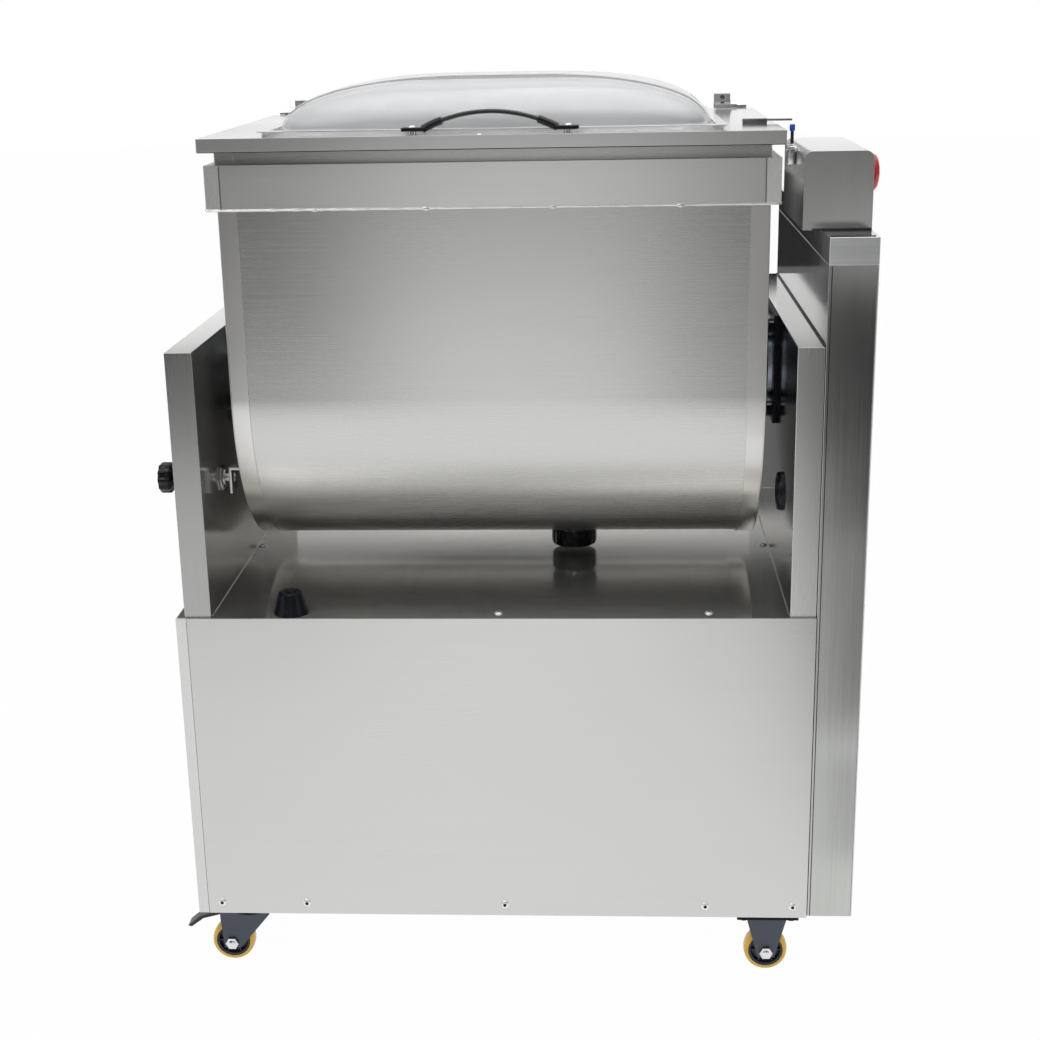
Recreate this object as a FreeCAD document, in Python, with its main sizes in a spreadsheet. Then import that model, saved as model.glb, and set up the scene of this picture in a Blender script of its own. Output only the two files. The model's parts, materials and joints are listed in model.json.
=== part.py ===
"""A tilting meat mixer on casters, in millimetres, +Z up, +Y to the rear, +X to the drive side.

The origin is the centre of the machine's footprint, on the floor.
"""

import FreeCAD, Part
import math
import os
import re

import Sketcher
from FreeCAD import Placement, Rotation, Vector

# Driving dimensions. Each is set once here and lives in the document's sheet.
# A cutter stands 1 mm out of what it cuts.
SIZES = {
    # Cabinet and its sheet metal
    "cabinet_width": 700,
    "cabinet_depth": 524,
    "caster_height": 80,
    "deck_height": 443,
    "panel_gauge": 1.5,
    "tray_gauge": 2,
    "tray_flange": 20,
    "deck_flange": 20,
    "side_strip": 11.8,
    "panel_seam": 0.3,
    "screw_drop": 14,
    "screw_edge": 16,
    "screw_inner": 115,
    "screw_radius": 2.4,
    "screw_clearance": 0.1,
    "screw_length": 9,
    "head_radius": 4.8,
    "head_height": 2.2,
    "vent_rows": 7,
    "vent_pitch": 18,
    "vent_length": 110,
    "vent_width": 6,
    "vent_rise": 150,
    "vent_spread": 160,
    "gland_bore": 5.5,
    "gland_radius": 12,
    "gland_reach": 20,
    "gland_wall": 2,
    "gland_nut": 8,
    "gland_flange": 7,
    "gland_step": 2,
    "gland_inset": 90,
    "gland_rise": 45,
    # Deck fasteners and rubber stops
    "deck_screw_inset": 18,
    "deck_screw_spread": 230,
    "deck_side_inset": 6,
    "bumper_setback": 20.5,
    "bumper_radius": 19.2,
    "bumper_top_radius": 13,
    "bumper_height": 25,
    "bumper_bore": 6,
    "bumper_recess": 8,
    "bumper_skirt": 3,
    "buffer_radius": 22,
    "buffer_length": 9,
    "buffer_rise": 115,
    "buffer_setback": 100,
    "buffer_chamfer": 3.5,
    # Cheeks
    "cheek_rise": 63.7,
    "cheek_inset": 4,
    "left_cheek_offset": 9.6,
    "left_cheek_width": 29.5,
    "right_cheek_width": 28.1,
    # Drive column
    "housing_seam": 0.6,
    "housing_width": 51,
    "housing_inset": 4,
    "cap_height": 28.4,
    # Control box
    "box_width": 72,
    "box_depth": 197,
    "box_height": 81,
    "box_drop": 23.7,
    "box_setback": 64,
    "box_round": 9,
    "button_plate_gauge": 1.5,
    "button_plate_length": 150,
    "button_plate_height": 52,
    "bezel_radius": 14.5,
    "bezel_height": 3,
    "button_radius": 11,
    "button_clearance": 0.3,
    "button_tail": 6,
    "button_proud": 1.5,
    "button_travel": 4,
    "button_pitch": 48,
    "button_shift": 13,
    "button_rise": 48.6,
    "button_chamfer": 0.6,
    "estop_radius": 20,
    "estop_thickness": 12,
    "estop_edge": 6.6,
    "estop_play": 1.5,
    # Trough
    "trough_offset": 64.8,
    "trough_side_room": 119,
    "trough_radius": 203.3,
    "trough_gauge": 2,
    "end_gauge": 1.5,
    "end_band": 20,
    "axis_depth": 262,
    "axis_rise": 231.8,
    "wall_rise": 275.2,
    "band_drop": 69.3,
    "band_height": 46.6,
    "band_reach": 9.7,
    "band_gauge": 1.5,
    "drain_offset": 79,
    "spout_radius": 18,
    "spout_bore": 14,
    "spout_length": 18.5,
    "spout_root": 6,
    "drain_cap_radius": 27.5,
    "drain_cap_height": 20,
    "drain_cap_floor": 4,
    "drain_cap_clearance": 0.4,
    "drain_cap_chamfer": 1.5,
    "drain_gap": 0.6,
    # Bearings on the tilt axis
    "hub_length": 12,
    "hub_radius": 56,
    "running_gap": 0.3,
    "bush_flange": 3,
    "bush_flange_radius": 58,
    "bush_radius": 40,
    "journal_radius": 35,
    "journal_gap": 1,
    "fit_clearance": 0.05,
    "housing_boss_radius": 45,
    "bearing_collar_radius": 54,
    "bearing_plate": 126,
    "bearing_plate_gauge": 5,
    "bolt_head_radius": 9,
    "bolt_head_height": 6,
    "bolt_inset": 14.5,
    "seal_radius": 30,
    "seal_length": 7,
    # Agitator and drive
    "shaft_radius": 20,
    "shaft_passage": 3,
    "shaft_end_gap": 2,
    "shaft_end_reach": 3,
    "arm_count": 6,
    "arm_radius": 9,
    "blade_tip_gap": 12,
    "blade_height": 62,
    "blade_length": 78,
    "blade_thickness": 6,
    "blade_angle": 30,
    "chain_pitch": 12.7,
    "driven_teeth": 30,
    "driver_teeth": 15,
    "roller_radius": 4.25,
    "tooth_rise": 3,
    "sprocket_thickness": 7,
    "sprocket_hub_radius": 32,
    "driver_hub_radius": 20,
    "sprocket_hub_length": 20,
    "chain_plate_gauge": 1.8,
    "chain_plate_height": 11,
    "gearbox_rise": 160,
    "gearbox_width": 150,
    "gearbox_length": 130,
    "gearbox_tall": 190,
    "gearbox_gap": 20,
    "gearbox_round": 9,
    "output_radius": 14,
    "output_depth": 30,
    "output_end_gap": 2,
    "nose_length": 12,
    "nose_radius": 28,
    "motor_radius": 72,
    "motor_length": 210,
    "fan_cover_length": 45,
    "fan_cover_step": 2,
    "fan_cover_round": 10,
    "motor_flange": 6,
    "motor_flange_gauge": 12,
    "terminal_setback": 52,
    "terminal_length": 84,
    "terminal_width": 84,
    "terminal_rise": 34,
    "mount_gauge": 5,
    # Lid
    "lid_lift": 5.7,
    "lid_gauge": 1.5,
    "lid_skirt": 13.6,
    "lid_front_reach": 25,
    "lid_side_reach": 12.2,
    "lid_rear_reach": 0.7,
    "seal_width": 8,
    "dome_side_inset": 57.5,
    "dome_width": 340,
    "dome_height": 54.5,
    "dome_wall": 3,
    "dome_corner": 48,
    "dome_flange": 12,
    "dome_setback": 46,
    "clamp_gauge": 1.5,
    "clamp_setback": 1,
    "hinge_setback": 9,
    "hinge_rise": 1.5,
    "hinge_inset": 36.7,
    "hinge_post": 20,
    "hinge_post_depth": 12,
    "hinge_post_rise": 16,
    "hinge_bracket": 8,
    "hinge_gap": 0.5,
    "hinge_pin_radius": 4,
    "hinge_pin_reach": 12,
    "hinge_leaf": 14,
    "lug_foot_length": 24,
    "lug_foot_gauge": 6,
    "handle_setback": 25,
    "handle_span": 140,
    "handle_rise": 17,
    "handle_radius": 3.5,
    "handle_tab": 22,
    "handle_tab_gauge": 4,
    "handle_tab_width": 16,
    "handle_foot": 3,
    "handle_foot_radius": 5,
    "handle_lap": 4,
    "handle_screw_radius": 4,
    "handle_screw_head": 2,
    # Lid interlock
    "sensor_setback": 151,
    "sensor_offset": 4,
    "sensor_radius": 3,
    "sensor_drop": 1.7,
    "sensor_length": 38,
    "sensor_collar": 4,
    "sensor_step": 0.3,
    "sensor_tip": 1,
    "sensor_bracket": 12,
    "striker_lift": 4.5,
    "striker_gauge": 2,
    "striker_width": 10,
    "striker_inner": 36,
    "striker_short": 3,
    "striker_foot": 14,
    # Tilt lock
    "lock_setback": 100,
    "lock_rise": 134,
    "lock_pin_radius": 5,
    "lock_pin_chamfer": 1.5,
    "lock_sleeve_radius": 10,
    "lock_sleeve_reach": 6,
    "lock_travel": 12,
    "lock_tip_gap": 1,
    "lock_ear_reach": 14,
    "lock_ear_gauge": 3,
    "lock_ear_size": 30,
    "lock_hole_clearance": 0.5,
    "knob_radius": 17.5,
    "knob_length": 22,
    "knob_neck_radius": 10.5,
    "knob_neck": 6.6,
    "knob_chamfer": 2.2,
    # Casters
    "swivel_inset": 52.5,
    "swivel_setback": 40,
    "caster_trail": 23,
    "fixed_inset": 43,
    "fixed_setback": 30,
    "plate_length": 70,
    "plate_width": 52,
    "plate_gauge": 3,
    "wheel_radius": 25,
    "wheel_width": 20,
    "tread": 5,
    "tread_chamfer": 2,
    "hub_inset": 1,
    "axle_radius": 4,
    "axle_nut_radius": 6.5,
    "axle_nut": 3.5,
    "fork_gauge": 2,
    "fork_gap": 1.5,
    "crown_radius": 23,
    "crown_gauge": 3,
    "crown_lip": 4,
    "fork_lip": 3,
    "fork_shoulder": 8,
    "race_radius": 21,
    "race_height": 7,
    "kingpin_radius": 5,
    "kingpin_head": 8,
    "kingpin_head_gauge": 3,
    "kingpin_tail": 2,
    "pedal_width": 18,
    "pedal_thickness": 6,
    "pedal_drop": 4,
    "pedal_pivot_radius": 1.8,
    "pedal_margin": 6,
    "pedal_arm": 8,
    "pedal_bend": 31.9,
    "pedal_tip": 46.4,
    "pedal_fall": 18,
    "pedal_slope": 4.4,
}

# Planes and distances that follow from the driving dimensions.
DERIVED = {
    "axis_height": "deck_height + axis_rise",
    "cheek_height": "axis_height + cheek_rise",
    "wall_top": "axis_height + wall_rise",
    "band_bottom": "wall_top - band_drop",
    "band_top": "band_bottom + band_height",
    "lid_top": "wall_top + lid_lift",
    "lock_height": "deck_height + lock_rise",
    "gearbox_height": "caster_height + gearbox_rise",
    "housing_height": "lid_top - box_drop - box_height",
    "sensor_top": "lid_top - sensor_drop",
    "trough_length": "cabinet_width - trough_side_room",
    "dome_length": "trough_length - 2 * dome_side_inset",
    "hinge_spread": "trough_length / 2 + lid_side_reach - hinge_inset",
    "estop_gap": "button_travel + estop_play",
    "estop_reach": "button_plate_gauge + bezel_height + estop_gap + estop_thickness",
    "knob_reach": "knob_length + lock_tip_gap + lock_travel + lock_sleeve_reach - left_cheek_offset",
    "left_x": "(knob_reach - cabinet_width - housing_seam - housing_width - estop_reach) / 2",
    "right_x": "left_x + cabinet_width",
    "housing_x": "right_x + housing_seam",
    "outer_x": "housing_x + housing_width",
    "front_y": "(head_height - cabinet_depth - gland_reach) / 2",
    "rear_y": "front_y + cabinet_depth",
    "panel_left_x": "left_x + side_strip + panel_seam",
    "panel_mid_x": "(panel_left_x + right_x) / 2",
    "left_cheek_x": "left_x + left_cheek_offset",
    "left_cheek_in": "left_cheek_x + left_cheek_width",
    "right_cheek_in": "right_x - right_cheek_width",
    "cheek_front": "front_y + cheek_inset",
    "cheek_rear": "rear_y - cheek_inset",
    "trough_x": "left_x + trough_offset",
    "trough_end": "trough_x + trough_length",
    "mid_x": "trough_x + trough_length / 2",
    "axis_y": "front_y + axis_depth",
    "shell_radius": "trough_radius - end_gauge",
    "inner_radius": "shell_radius - trough_gauge",
    "bore_radius": "shaft_radius + fit_clearance",
    "left_hub_face": "trough_x - hub_length",
    "right_hub_face": "trough_end + hub_length",
    "left_bush_face": "left_hub_face - running_gap - bush_flange",
    "right_bush_face": "right_hub_face + running_gap + bush_flange",
    "left_journal_end": "left_cheek_x + panel_gauge + journal_gap",
    "right_journal_end": "right_x - panel_gauge - journal_gap",
    "cap_bottom": "housing_height - cap_height",
    "box_x": "outer_x - box_width",
    "box_front": "front_y + box_setback",
    "box_rear": "box_front + box_depth",
    "box_top": "housing_height + box_height",
    "button_y": "(box_front + box_rear) / 2 + button_shift",
    "button_z": "housing_height + button_rise",
    "bezel_face": "outer_x + button_plate_gauge + bezel_height",
    "chain_x": "housing_x + housing_width / 2",
    "driven_pitch_radius": "chain_pitch / (2 * sin(180 / driven_teeth))",
    "driver_pitch_radius": "chain_pitch / (2 * sin(180 / driver_teeth))",
    "chain_plate_inner": "sprocket_thickness / 2 + running_gap",
    "gearbox_x": "right_x - gearbox_gap - gearbox_length",
    "gearbox_base": "gearbox_height - gearbox_tall / 2",
    "lid_left": "trough_x - lid_side_reach",
    "lid_right": "trough_end + lid_side_reach",
    "lid_front": "axis_y - trough_radius - lid_front_reach",
    "lid_rear": "axis_y + trough_radius + lid_rear_reach",
    "lid_under": "lid_top - lid_gauge",
    "dome_front": "lid_front + dome_setback",
    "dome_mid_y": "dome_front + dome_width / 2",
    "hinge_y": "lid_rear + hinge_setback",
    "hinge_z": "lid_top + hinge_rise",
    "post_outer": "hinge_spread + hinge_post / 2",
    "bracket_inner": "post_outer + hinge_gap",
    "bracket_outer": "bracket_inner + hinge_bracket",
    "handle_y": "lid_front + handle_setback",
    "handle_z": "lid_top + handle_foot",
    "handle_arc": "(handle_span ^ 2 / 4 + handle_rise ^ 2) / (2 * handle_rise)",
    "lock_y": "front_y + lock_setback",
    "ear_face": "trough_x - lock_ear_reach",
    "lock_tip": "ear_face - lock_tip_gap",
    "sleeve_face": "left_cheek_x - lock_sleeve_reach",
    "knob_face": "sleeve_face - lock_travel - lock_tip_gap",
    "sensor_y": "front_y + sensor_setback",
    "sensor_x": "box_x - sensor_offset",
    "striker_z": "sensor_top + striker_lift",
    "swivel_x": "left_x + swivel_inset",
    "fixed_x": "right_x - fixed_inset",
    "fork_half": "wheel_width / 2 + fork_gap + fork_gauge",
    "crown_top": "caster_height - plate_gauge - race_height - running_gap",
    "crown_bottom": "crown_top - crown_gauge",
    "pedal_z": "crown_bottom - pedal_drop",
    "pedal_back": "caster_trail + axle_nut_radius",
    "hub_radius_wheel": "wheel_radius - tread",
    "drain_x": "mid_x + drain_offset",
    "trough_bottom": "axis_height - trough_radius",
    "spout_end": "trough_bottom - spout_length",
    "drain_cap_z": "spout_end - drain_gap - drain_cap_floor",
}

TURNS = {
    "x": Rotation(Vector(0, 1, 0), 90),
    "-x": Rotation(Vector(0, 1, 0), -90),
    "y": Rotation(Vector(1, 0, 0), -90),
    "-y": Rotation(Vector(1, 0, 0), 90),
    "z": Rotation(),
    "-z": Rotation(Vector(1, 0, 0), 180),
}

doc = FreeCAD.newDocument("meat_mixer")
sheet = doc.addObject("Spreadsheet::Sheet", "Sizes")
pieces = []


def fill_sheet():
    """Write every driving dimension and every derived plane to the sheet."""
    rows = [(name, str(value)) for name, value in SIZES.items()]
    rows += [(name, "=" + text) for name, text in DERIVED.items()]
    for row, (name, text) in enumerate(rows, 1):
        sheet.set(f"A{row}", name)
        sheet.set(f"B{row}", text)
        sheet.setAlias(f"B{row}", name)
    doc.recompute()


def rule(text):
    """Point the size names in an expression at the sheet."""

    def point(found):
        word = found.group()
        return "Sizes." + word if word in SIZES or word in DERIVED else word

    return re.sub(r"[a-z_]+", point, str(text))


def size(text):
    """The present value of an expression."""
    return float(sheet.evalExpression(rule(text)))


def tie(thing, **rules):
    """Bind properties of a feature to expressions."""
    for name, text in rules.items():
        thing.setExpression(name, rule(text))


def place(thing, x=0, y=0, z=0):
    """Bind the position of a feature to expressions."""
    for axis, text in (("x", x), ("y", y), ("z", z)):
        thing.setExpression(f"Placement.Base.{axis}", rule(text))
    return thing


def keep(thing, label):
    """Hand a finished sub-part over under the name of its file."""
    thing.Label = label
    pieces.append((label, thing))
    return thing


# Primitives and booleans


def block(x, y, z):
    """A box between a low and a high plane along each axis."""
    piece = doc.addObject("Part::Box", "Block")
    tie(
        piece,
        Length=f"({x[1]}) - ({x[0]})",
        Width=f"({y[1]}) - ({y[0]})",
        Height=f"({z[1]}) - ({z[0]})",
    )
    return place(piece, x[0], y[0], z[0])


def rod(axis, span, radius, x=0, y=0, z=0):
    """A cylinder along an axis, between a low and a high plane on that axis."""
    piece = doc.addObject("Part::Cylinder", "Rod")
    piece.Placement = Placement(Vector(), TURNS[axis])
    tie(piece, Radius=radius, Height=f"({span[1]}) - ({span[0]})")
    spot = {"x": x, "y": y, "z": z, axis: span[0]}
    return place(piece, **spot)


def fuse(*parts):
    """One shape from several that touch, or a group from several that don't."""
    if len(parts) == 1:
        return parts[0]
    piece = doc.addObject("Part::MultiFuse", "Joined")
    piece.Shapes = list(parts)
    piece.Refine = True
    return piece


def cut(base, *tools):
    """The base with every tool taken away."""
    piece = doc.addObject("Part::Cut", "Cut")
    piece.Base = base
    piece.Tool = fuse(*tools)
    piece.Refine = True
    return piece


def round_edges(base, radius, chosen):
    """Round the edges of a feature that a test picks out."""
    doc.recompute()
    piece = doc.addObject("Part::Fillet", "Rounded")
    piece.Base = base
    value = size(radius)
    piece.Edges = [
        (number, value, value)
        for number, edge in enumerate(base.Shape.Edges, 1)
        if chosen(edge)
    ]
    return piece


def runs_along(edge, axis):
    """True for a straight edge parallel to an axis."""
    if not isinstance(edge.Curve, Part.Line):
        return False
    return abs(edge.tangentAt(edge.FirstParameter).dot(axis)) > 0.999


# Sketched bodies


def new_body(label, facing="z", x=0, y=0, z=0):
    """A body whose own Z axis faces along an axis of the machine."""
    body = doc.addObject("PartDesign::Body", label)
    body.Placement = Placement(Vector(), TURNS[facing])
    return place(body, x, y, z)


def new_sketch(body, plane, *loops):
    """A sketch on an origin plane, with each corner bound to two expressions."""
    sketch = body.newObject("Sketcher::SketchObject", body.Name + "_outline")
    origin = next(item for item in body.Origin.OriginFeatures if item.Role == plane)
    sketch.AttachmentSupport = [(origin, "")]
    sketch.MapMode = "FlatFace"
    for corners in loops:
        draw_loop(sketch, corners)
    return sketch


def bind_point(sketch, edge, point, u, v):
    """Bind a point of a sketch to a place measured from its origin."""
    for kind, text in (("DistanceX", u), ("DistanceY", v)):
        rest = Sketcher.Constraint(kind, -1, 1, edge, point, size(text))
        number = sketch.addConstraint(rest)
        sketch.setExpression(f"Constraints[{number}]", rule(text))


def draw_loop(sketch, corners):
    """A closed loop of straight lines."""
    first = sketch.GeometryCount
    count = len(corners)
    spots = [Vector(size(u), size(v), 0) for u, v in corners]
    for number in range(count):
        sketch.addGeometry(Part.LineSegment(spots[number], spots[(number + 1) % count]))
    for number in range(count):
        following = first + (number + 1) % count
        sketch.addConstraint(Sketcher.Constraint("Coincident", first + number, 2, following, 1))
    for number, (u, v) in enumerate(corners):
        bind_point(sketch, first + number, 1, u, v)


def draw_circle(sketch, u, v, radius):
    """A circle whose centre and radius are bound."""
    centre = Vector(size(u), size(v), 0)
    edge = sketch.addGeometry(Part.Circle(centre, Vector(0, 0, 1), size(radius)))
    bind_point(sketch, edge, 3, u, v)
    number = sketch.addConstraint(Sketcher.Constraint("Radius", edge, size(radius)))
    sketch.setExpression(f"Constraints[{number}]", rule(radius))


def pad(body, sketch, length, back=False):
    """Pad a sketch along its normal, or the other way."""
    feature = body.newObject("PartDesign::Pad", body.Name + "_pad")
    feature.Profile = sketch
    feature.Reversed = back
    tie(feature, Length=length)
    body.Tip = feature
    return feature


def pocket(body, sketch, length, back=False):
    """Pocket a sketch against its normal, or the other way, and see that it cuts."""
    doc.recompute()
    before = body.Shape.Volume
    feature = body.newObject("PartDesign::Pocket", body.Name + "_pocket")
    feature.Profile = sketch
    feature.Reversed = back
    tie(feature, Length=length)
    body.Tip = feature
    doc.recompute()
    if body.Shape.Volume >= before:
        raise RuntimeError(f"the pocket in {body.Label} cuts nothing")
    return feature


def turned(label, facing, profile, x=0, y=0, z=0):
    """A turned piece: a half section of radius and height, spun about its own axis."""
    body = new_body(label, facing, x, y, z)
    sketch = new_sketch(body, "XZ_Plane", profile)
    feature = body.newObject("PartDesign::Revolution", body.Name + "_turn")
    feature.Profile = sketch
    feature.ReferenceAxis = (sketch, ["V_Axis"])
    feature.Angle = 360
    body.Tip = feature
    return body


def sheet_piece(label, corners, low, high):
    """Folded sheet seen from above, standing between two heights."""
    body = new_body(label, "z", 0, 0, low)
    pad(body, new_sketch(body, "XY_Plane", corners), f"({high}) - ({low})")
    return body


def rectangle(low_u, high_u, low_v, high_v):
    """The corners of a rectangle."""
    return [(low_u, low_v), (high_u, low_v), (high_u, high_v), (low_u, high_v)]


# Cabinet


def panel_screw_places():
    """Where the front panel's screws sit across the cabinet."""
    return [
        "panel_left_x + screw_edge",
        "panel_left_x + screw_inner",
        "panel_mid_x",
        "right_x - screw_inner",
        "right_x - screw_edge",
    ]


def make_base_tray():
    """The floor of the cabinet, with its edges turned up."""
    x = ("left_x + panel_gauge", "right_x")
    y = ("front_y + panel_gauge", "rear_y - panel_gauge")
    outside = block(x, y, ("caster_height", "caster_height + tray_flange"))
    inside = block(
        (f"{x[0]} + tray_gauge", f"{x[1]} - tray_gauge"),
        (f"{y[0]} + tray_gauge", f"{y[1]} - tray_gauge"),
        ("caster_height + tray_gauge", "caster_height + tray_flange + 1"),
    )
    holes = [
        rod(
            "y",
            ("front_y", "front_y + screw_length"),
            "screw_radius + screw_clearance",
            x=place_x,
            z="caster_height + screw_drop",
        )
        for place_x in panel_screw_places()
    ]
    keep(cut(outside, inside, *holes), "base_tray")


def make_front_panel():
    """The flat front sheet with five screw holes along its foot."""
    body = new_body("front_panel_body", "z", 0, "front_y", 0)
    outline = new_sketch(
        body,
        "XZ_Plane",
        rectangle("panel_left_x", "right_x", "caster_height", "deck_height"),
    )
    pad(body, outline, "panel_gauge", back=True)
    holes = new_sketch(body, "XZ_Plane")
    for place_x in panel_screw_places():
        draw_circle(holes, place_x, "caster_height + screw_drop", "screw_radius + screw_clearance")
    pocket(body, holes, "panel_gauge * 2", back=False)
    keep(body, "front_panel")


def make_left_side_panel():
    """The left side sheet, returned at its front and rear edges."""
    corners = [
        ("left_x", "front_y"),
        ("left_x + side_strip", "front_y"),
        ("left_x + side_strip", "front_y + panel_gauge"),
        ("left_x + panel_gauge", "front_y + panel_gauge"),
        ("left_x + panel_gauge", "rear_y - panel_gauge"),
        ("left_x + side_strip", "rear_y - panel_gauge"),
        ("left_x + side_strip", "rear_y"),
        ("left_x", "rear_y"),
    ]
    keep(sheet_piece("side_panel_body", corners, "caster_height", "deck_height"), "left_side_panel")


def make_rear_panel():
    """The rear sheet with two banks of cooling slots and the hole of the cable gland."""
    body = new_body("rear_panel_body", "z", 0, "rear_y", 0)
    outline = new_sketch(
        body,
        "XZ_Plane",
        rectangle("panel_left_x", "right_x", "caster_height", "deck_height"),
    )
    pad(body, outline, "panel_gauge")
    slots = new_sketch(body, "XZ_Plane")
    for row in range(int(size("vent_rows"))):
        low = f"caster_height + vent_rise + {row} * vent_pitch"
        for side in ("-1", "1"):
            middle = f"panel_mid_x + {side} * vent_spread"
            draw_loop(
                slots,
                rectangle(
                    f"{middle} - vent_length / 2",
                    f"{middle} + vent_length / 2",
                    low,
                    f"{low} + vent_width",
                ),
            )
    gland_z = "caster_height + gland_rise"
    draw_circle(slots, "right_x - gland_inset", gland_z, "gland_bore + gland_wall")
    pocket(body, slots, "panel_gauge * 2", back=True)
    keep(body, "rear_panel")


def deck_screw_places():
    """Where dome-head screws hold the deck, apart from the bumper's place."""
    front = "front_y + deck_screw_inset"
    rear = "rear_y - deck_screw_inset"
    left = "left_cheek_in + deck_side_inset"
    right = "right_cheek_in - deck_side_inset"
    return [
        ("mid_x", front),
        ("mid_x + deck_screw_spread", front),
        ("mid_x - deck_screw_spread", rear),
        ("mid_x", rear),
        ("mid_x + deck_screw_spread", rear),
        (left, "axis_y"),
        (right, "axis_y"),
    ]


def make_deck_plate():
    """The top of the cabinet, turned down at the front and the rear."""
    x = ("left_x + panel_gauge", "right_x")
    y = ("front_y + panel_gauge", "rear_y - panel_gauge")
    outside = block(x, y, ("deck_height - deck_flange", "deck_height"))
    inside = block(
        (f"{x[0]} - 1", f"{x[1]} + 1"),
        (f"{y[0]} + panel_gauge", f"{y[1]} - panel_gauge"),
        ("deck_height - deck_flange - 1", "deck_height - panel_gauge"),
    )
    span = ("deck_height - screw_length", "deck_height")
    holes = [
        rod("z", span, "screw_radius + screw_clearance", x=place_x, y=place_y)
        for place_x, place_y in deck_screw_places()
    ]
    keep(cut(outside, inside, *holes), "deck_plate")


def domed(radius, base, rise):
    """The outline of a domed end, from its edge to its middle."""
    points = [(radius, base)]
    for angle in (35, 65):
        points.append((f"{radius} * cos({angle})", f"{base} + ({rise}) * sin({angle})"))
    return points + [(0, f"{base} + ({rise})")]


def screw(facing, x, y, z):
    """A dome-head screw whose head's underside is at the given place."""
    profile = [
        (0, "-screw_length"),
        ("screw_radius", "-screw_length"),
        ("screw_radius", 0),
        *domed("head_radius", 0, "head_height"),
    ]
    return turned("screw_body", facing, profile, x, y, z)


def make_cabinet_screws():
    """The front panel's screws and the deck's screws."""
    screws = [
        screw("-y", place_x, "front_y", "caster_height + screw_drop")
        for place_x in panel_screw_places()
    ]
    screws += [
        screw("z", place_x, place_y, "deck_height")
        for place_x, place_y in deck_screw_places()
    ]
    keep(fuse(*screws), "cabinet_screws")


def make_cable_gland():
    """The gland through the rear panel, left empty."""
    profile = [
        ("gland_bore", "-panel_gauge - gland_nut"),
        ("gland_radius", "-panel_gauge - gland_nut"),
        ("gland_radius", "-panel_gauge"),
        ("gland_bore + gland_wall", "-panel_gauge"),
        ("gland_bore + gland_wall", 0),
        ("gland_radius", 0),
        ("gland_radius", "gland_flange"),
        ("gland_radius - gland_step", "gland_flange"),
        ("gland_radius - gland_step", "gland_reach - gland_step"),
        ("gland_bore + gland_wall", "gland_reach"),
        ("gland_bore", "gland_reach"),
    ]
    spot = ("right_x - gland_inset", "rear_y", "caster_height + gland_rise")
    keep(turned("gland_body", "y", profile, *spot), "cable_gland")


def make_rubber_stops():
    """The bumper on the deck that the tipped trough meets, and the buffer on the right cheek."""
    bumper = [
        ("bumper_bore", "bumper_height - bumper_recess"),
        ("bumper_bore", "bumper_height"),
        ("bumper_top_radius", "bumper_height"),
        ("bumper_radius", "bumper_skirt"),
        ("bumper_radius", 0),
        (0, 0),
        (0, "bumper_height - bumper_recess"),
    ]
    low = turned(
        "bumper_body",
        "z",
        bumper,
        "mid_x - deck_screw_spread",
        "front_y + bumper_setback",
        "deck_height",
    )
    buffer = [
        (0, 0),
        ("buffer_radius", 0),
        ("buffer_radius", "buffer_length - buffer_chamfer"),
        ("buffer_radius - buffer_chamfer", "buffer_length"),
        (0, "buffer_length"),
    ]
    side = turned(
        "buffer_body",
        "-x",
        buffer,
        "right_cheek_in",
        "front_y + buffer_setback",
        "deck_height + buffer_rise",
    )
    keep(fuse(low, side), "rubber_stops")


# Cheeks and drive column


def cheek(low, high):
    """A hollow upright, open at its foot, between two planes."""
    y = ("cheek_front", "cheek_rear")
    outside = block((low, high), y, ("deck_height", "cheek_height"))
    inside = block(
        (f"{low} + panel_gauge", f"{high} - panel_gauge"),
        ("cheek_front + panel_gauge", "cheek_rear - panel_gauge"),
        ("deck_height - 1", "cheek_height - panel_gauge"),
    )
    return outside, inside


def make_cheeks():
    """The two uprights that carry the trough, with the lock's guide in the left one."""
    outside, inside = cheek("left_cheek_x", "left_cheek_in")
    boss = rod(
        "x",
        ("left_cheek_in - panel_gauge * 2", "left_cheek_in + 1"),
        "housing_boss_radius",
        y="axis_y",
        z="axis_height",
    )
    guide_span = ("sleeve_face", "left_cheek_in + lock_sleeve_reach")
    guide = rod("x", guide_span, "lock_sleeve_radius", y="lock_y", z="lock_height")
    guide_bore = rod(
        "x",
        ("sleeve_face - 1", "left_cheek_in + lock_sleeve_reach + 1"),
        "lock_pin_radius + fit_clearance",
        y="lock_y",
        z="lock_height",
    )
    shell = cut(outside, inside, boss)
    keep(cut(fuse(shell, guide), guide_bore), "left_cheek")

    outside, inside = cheek("right_cheek_in", "right_x")
    boss = rod(
        "x",
        ("right_cheek_in - 1", "right_cheek_in + panel_gauge * 2"),
        "housing_boss_radius",
        y="axis_y",
        z="axis_height",
    )
    passage = rod(
        "x",
        ("right_x - panel_gauge * 2", "right_x + 1"),
        "shaft_radius + shaft_passage",
        y="axis_y",
        z="axis_height",
    )
    keep(cut(outside, inside, boss, passage), "right_cheek")


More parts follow.
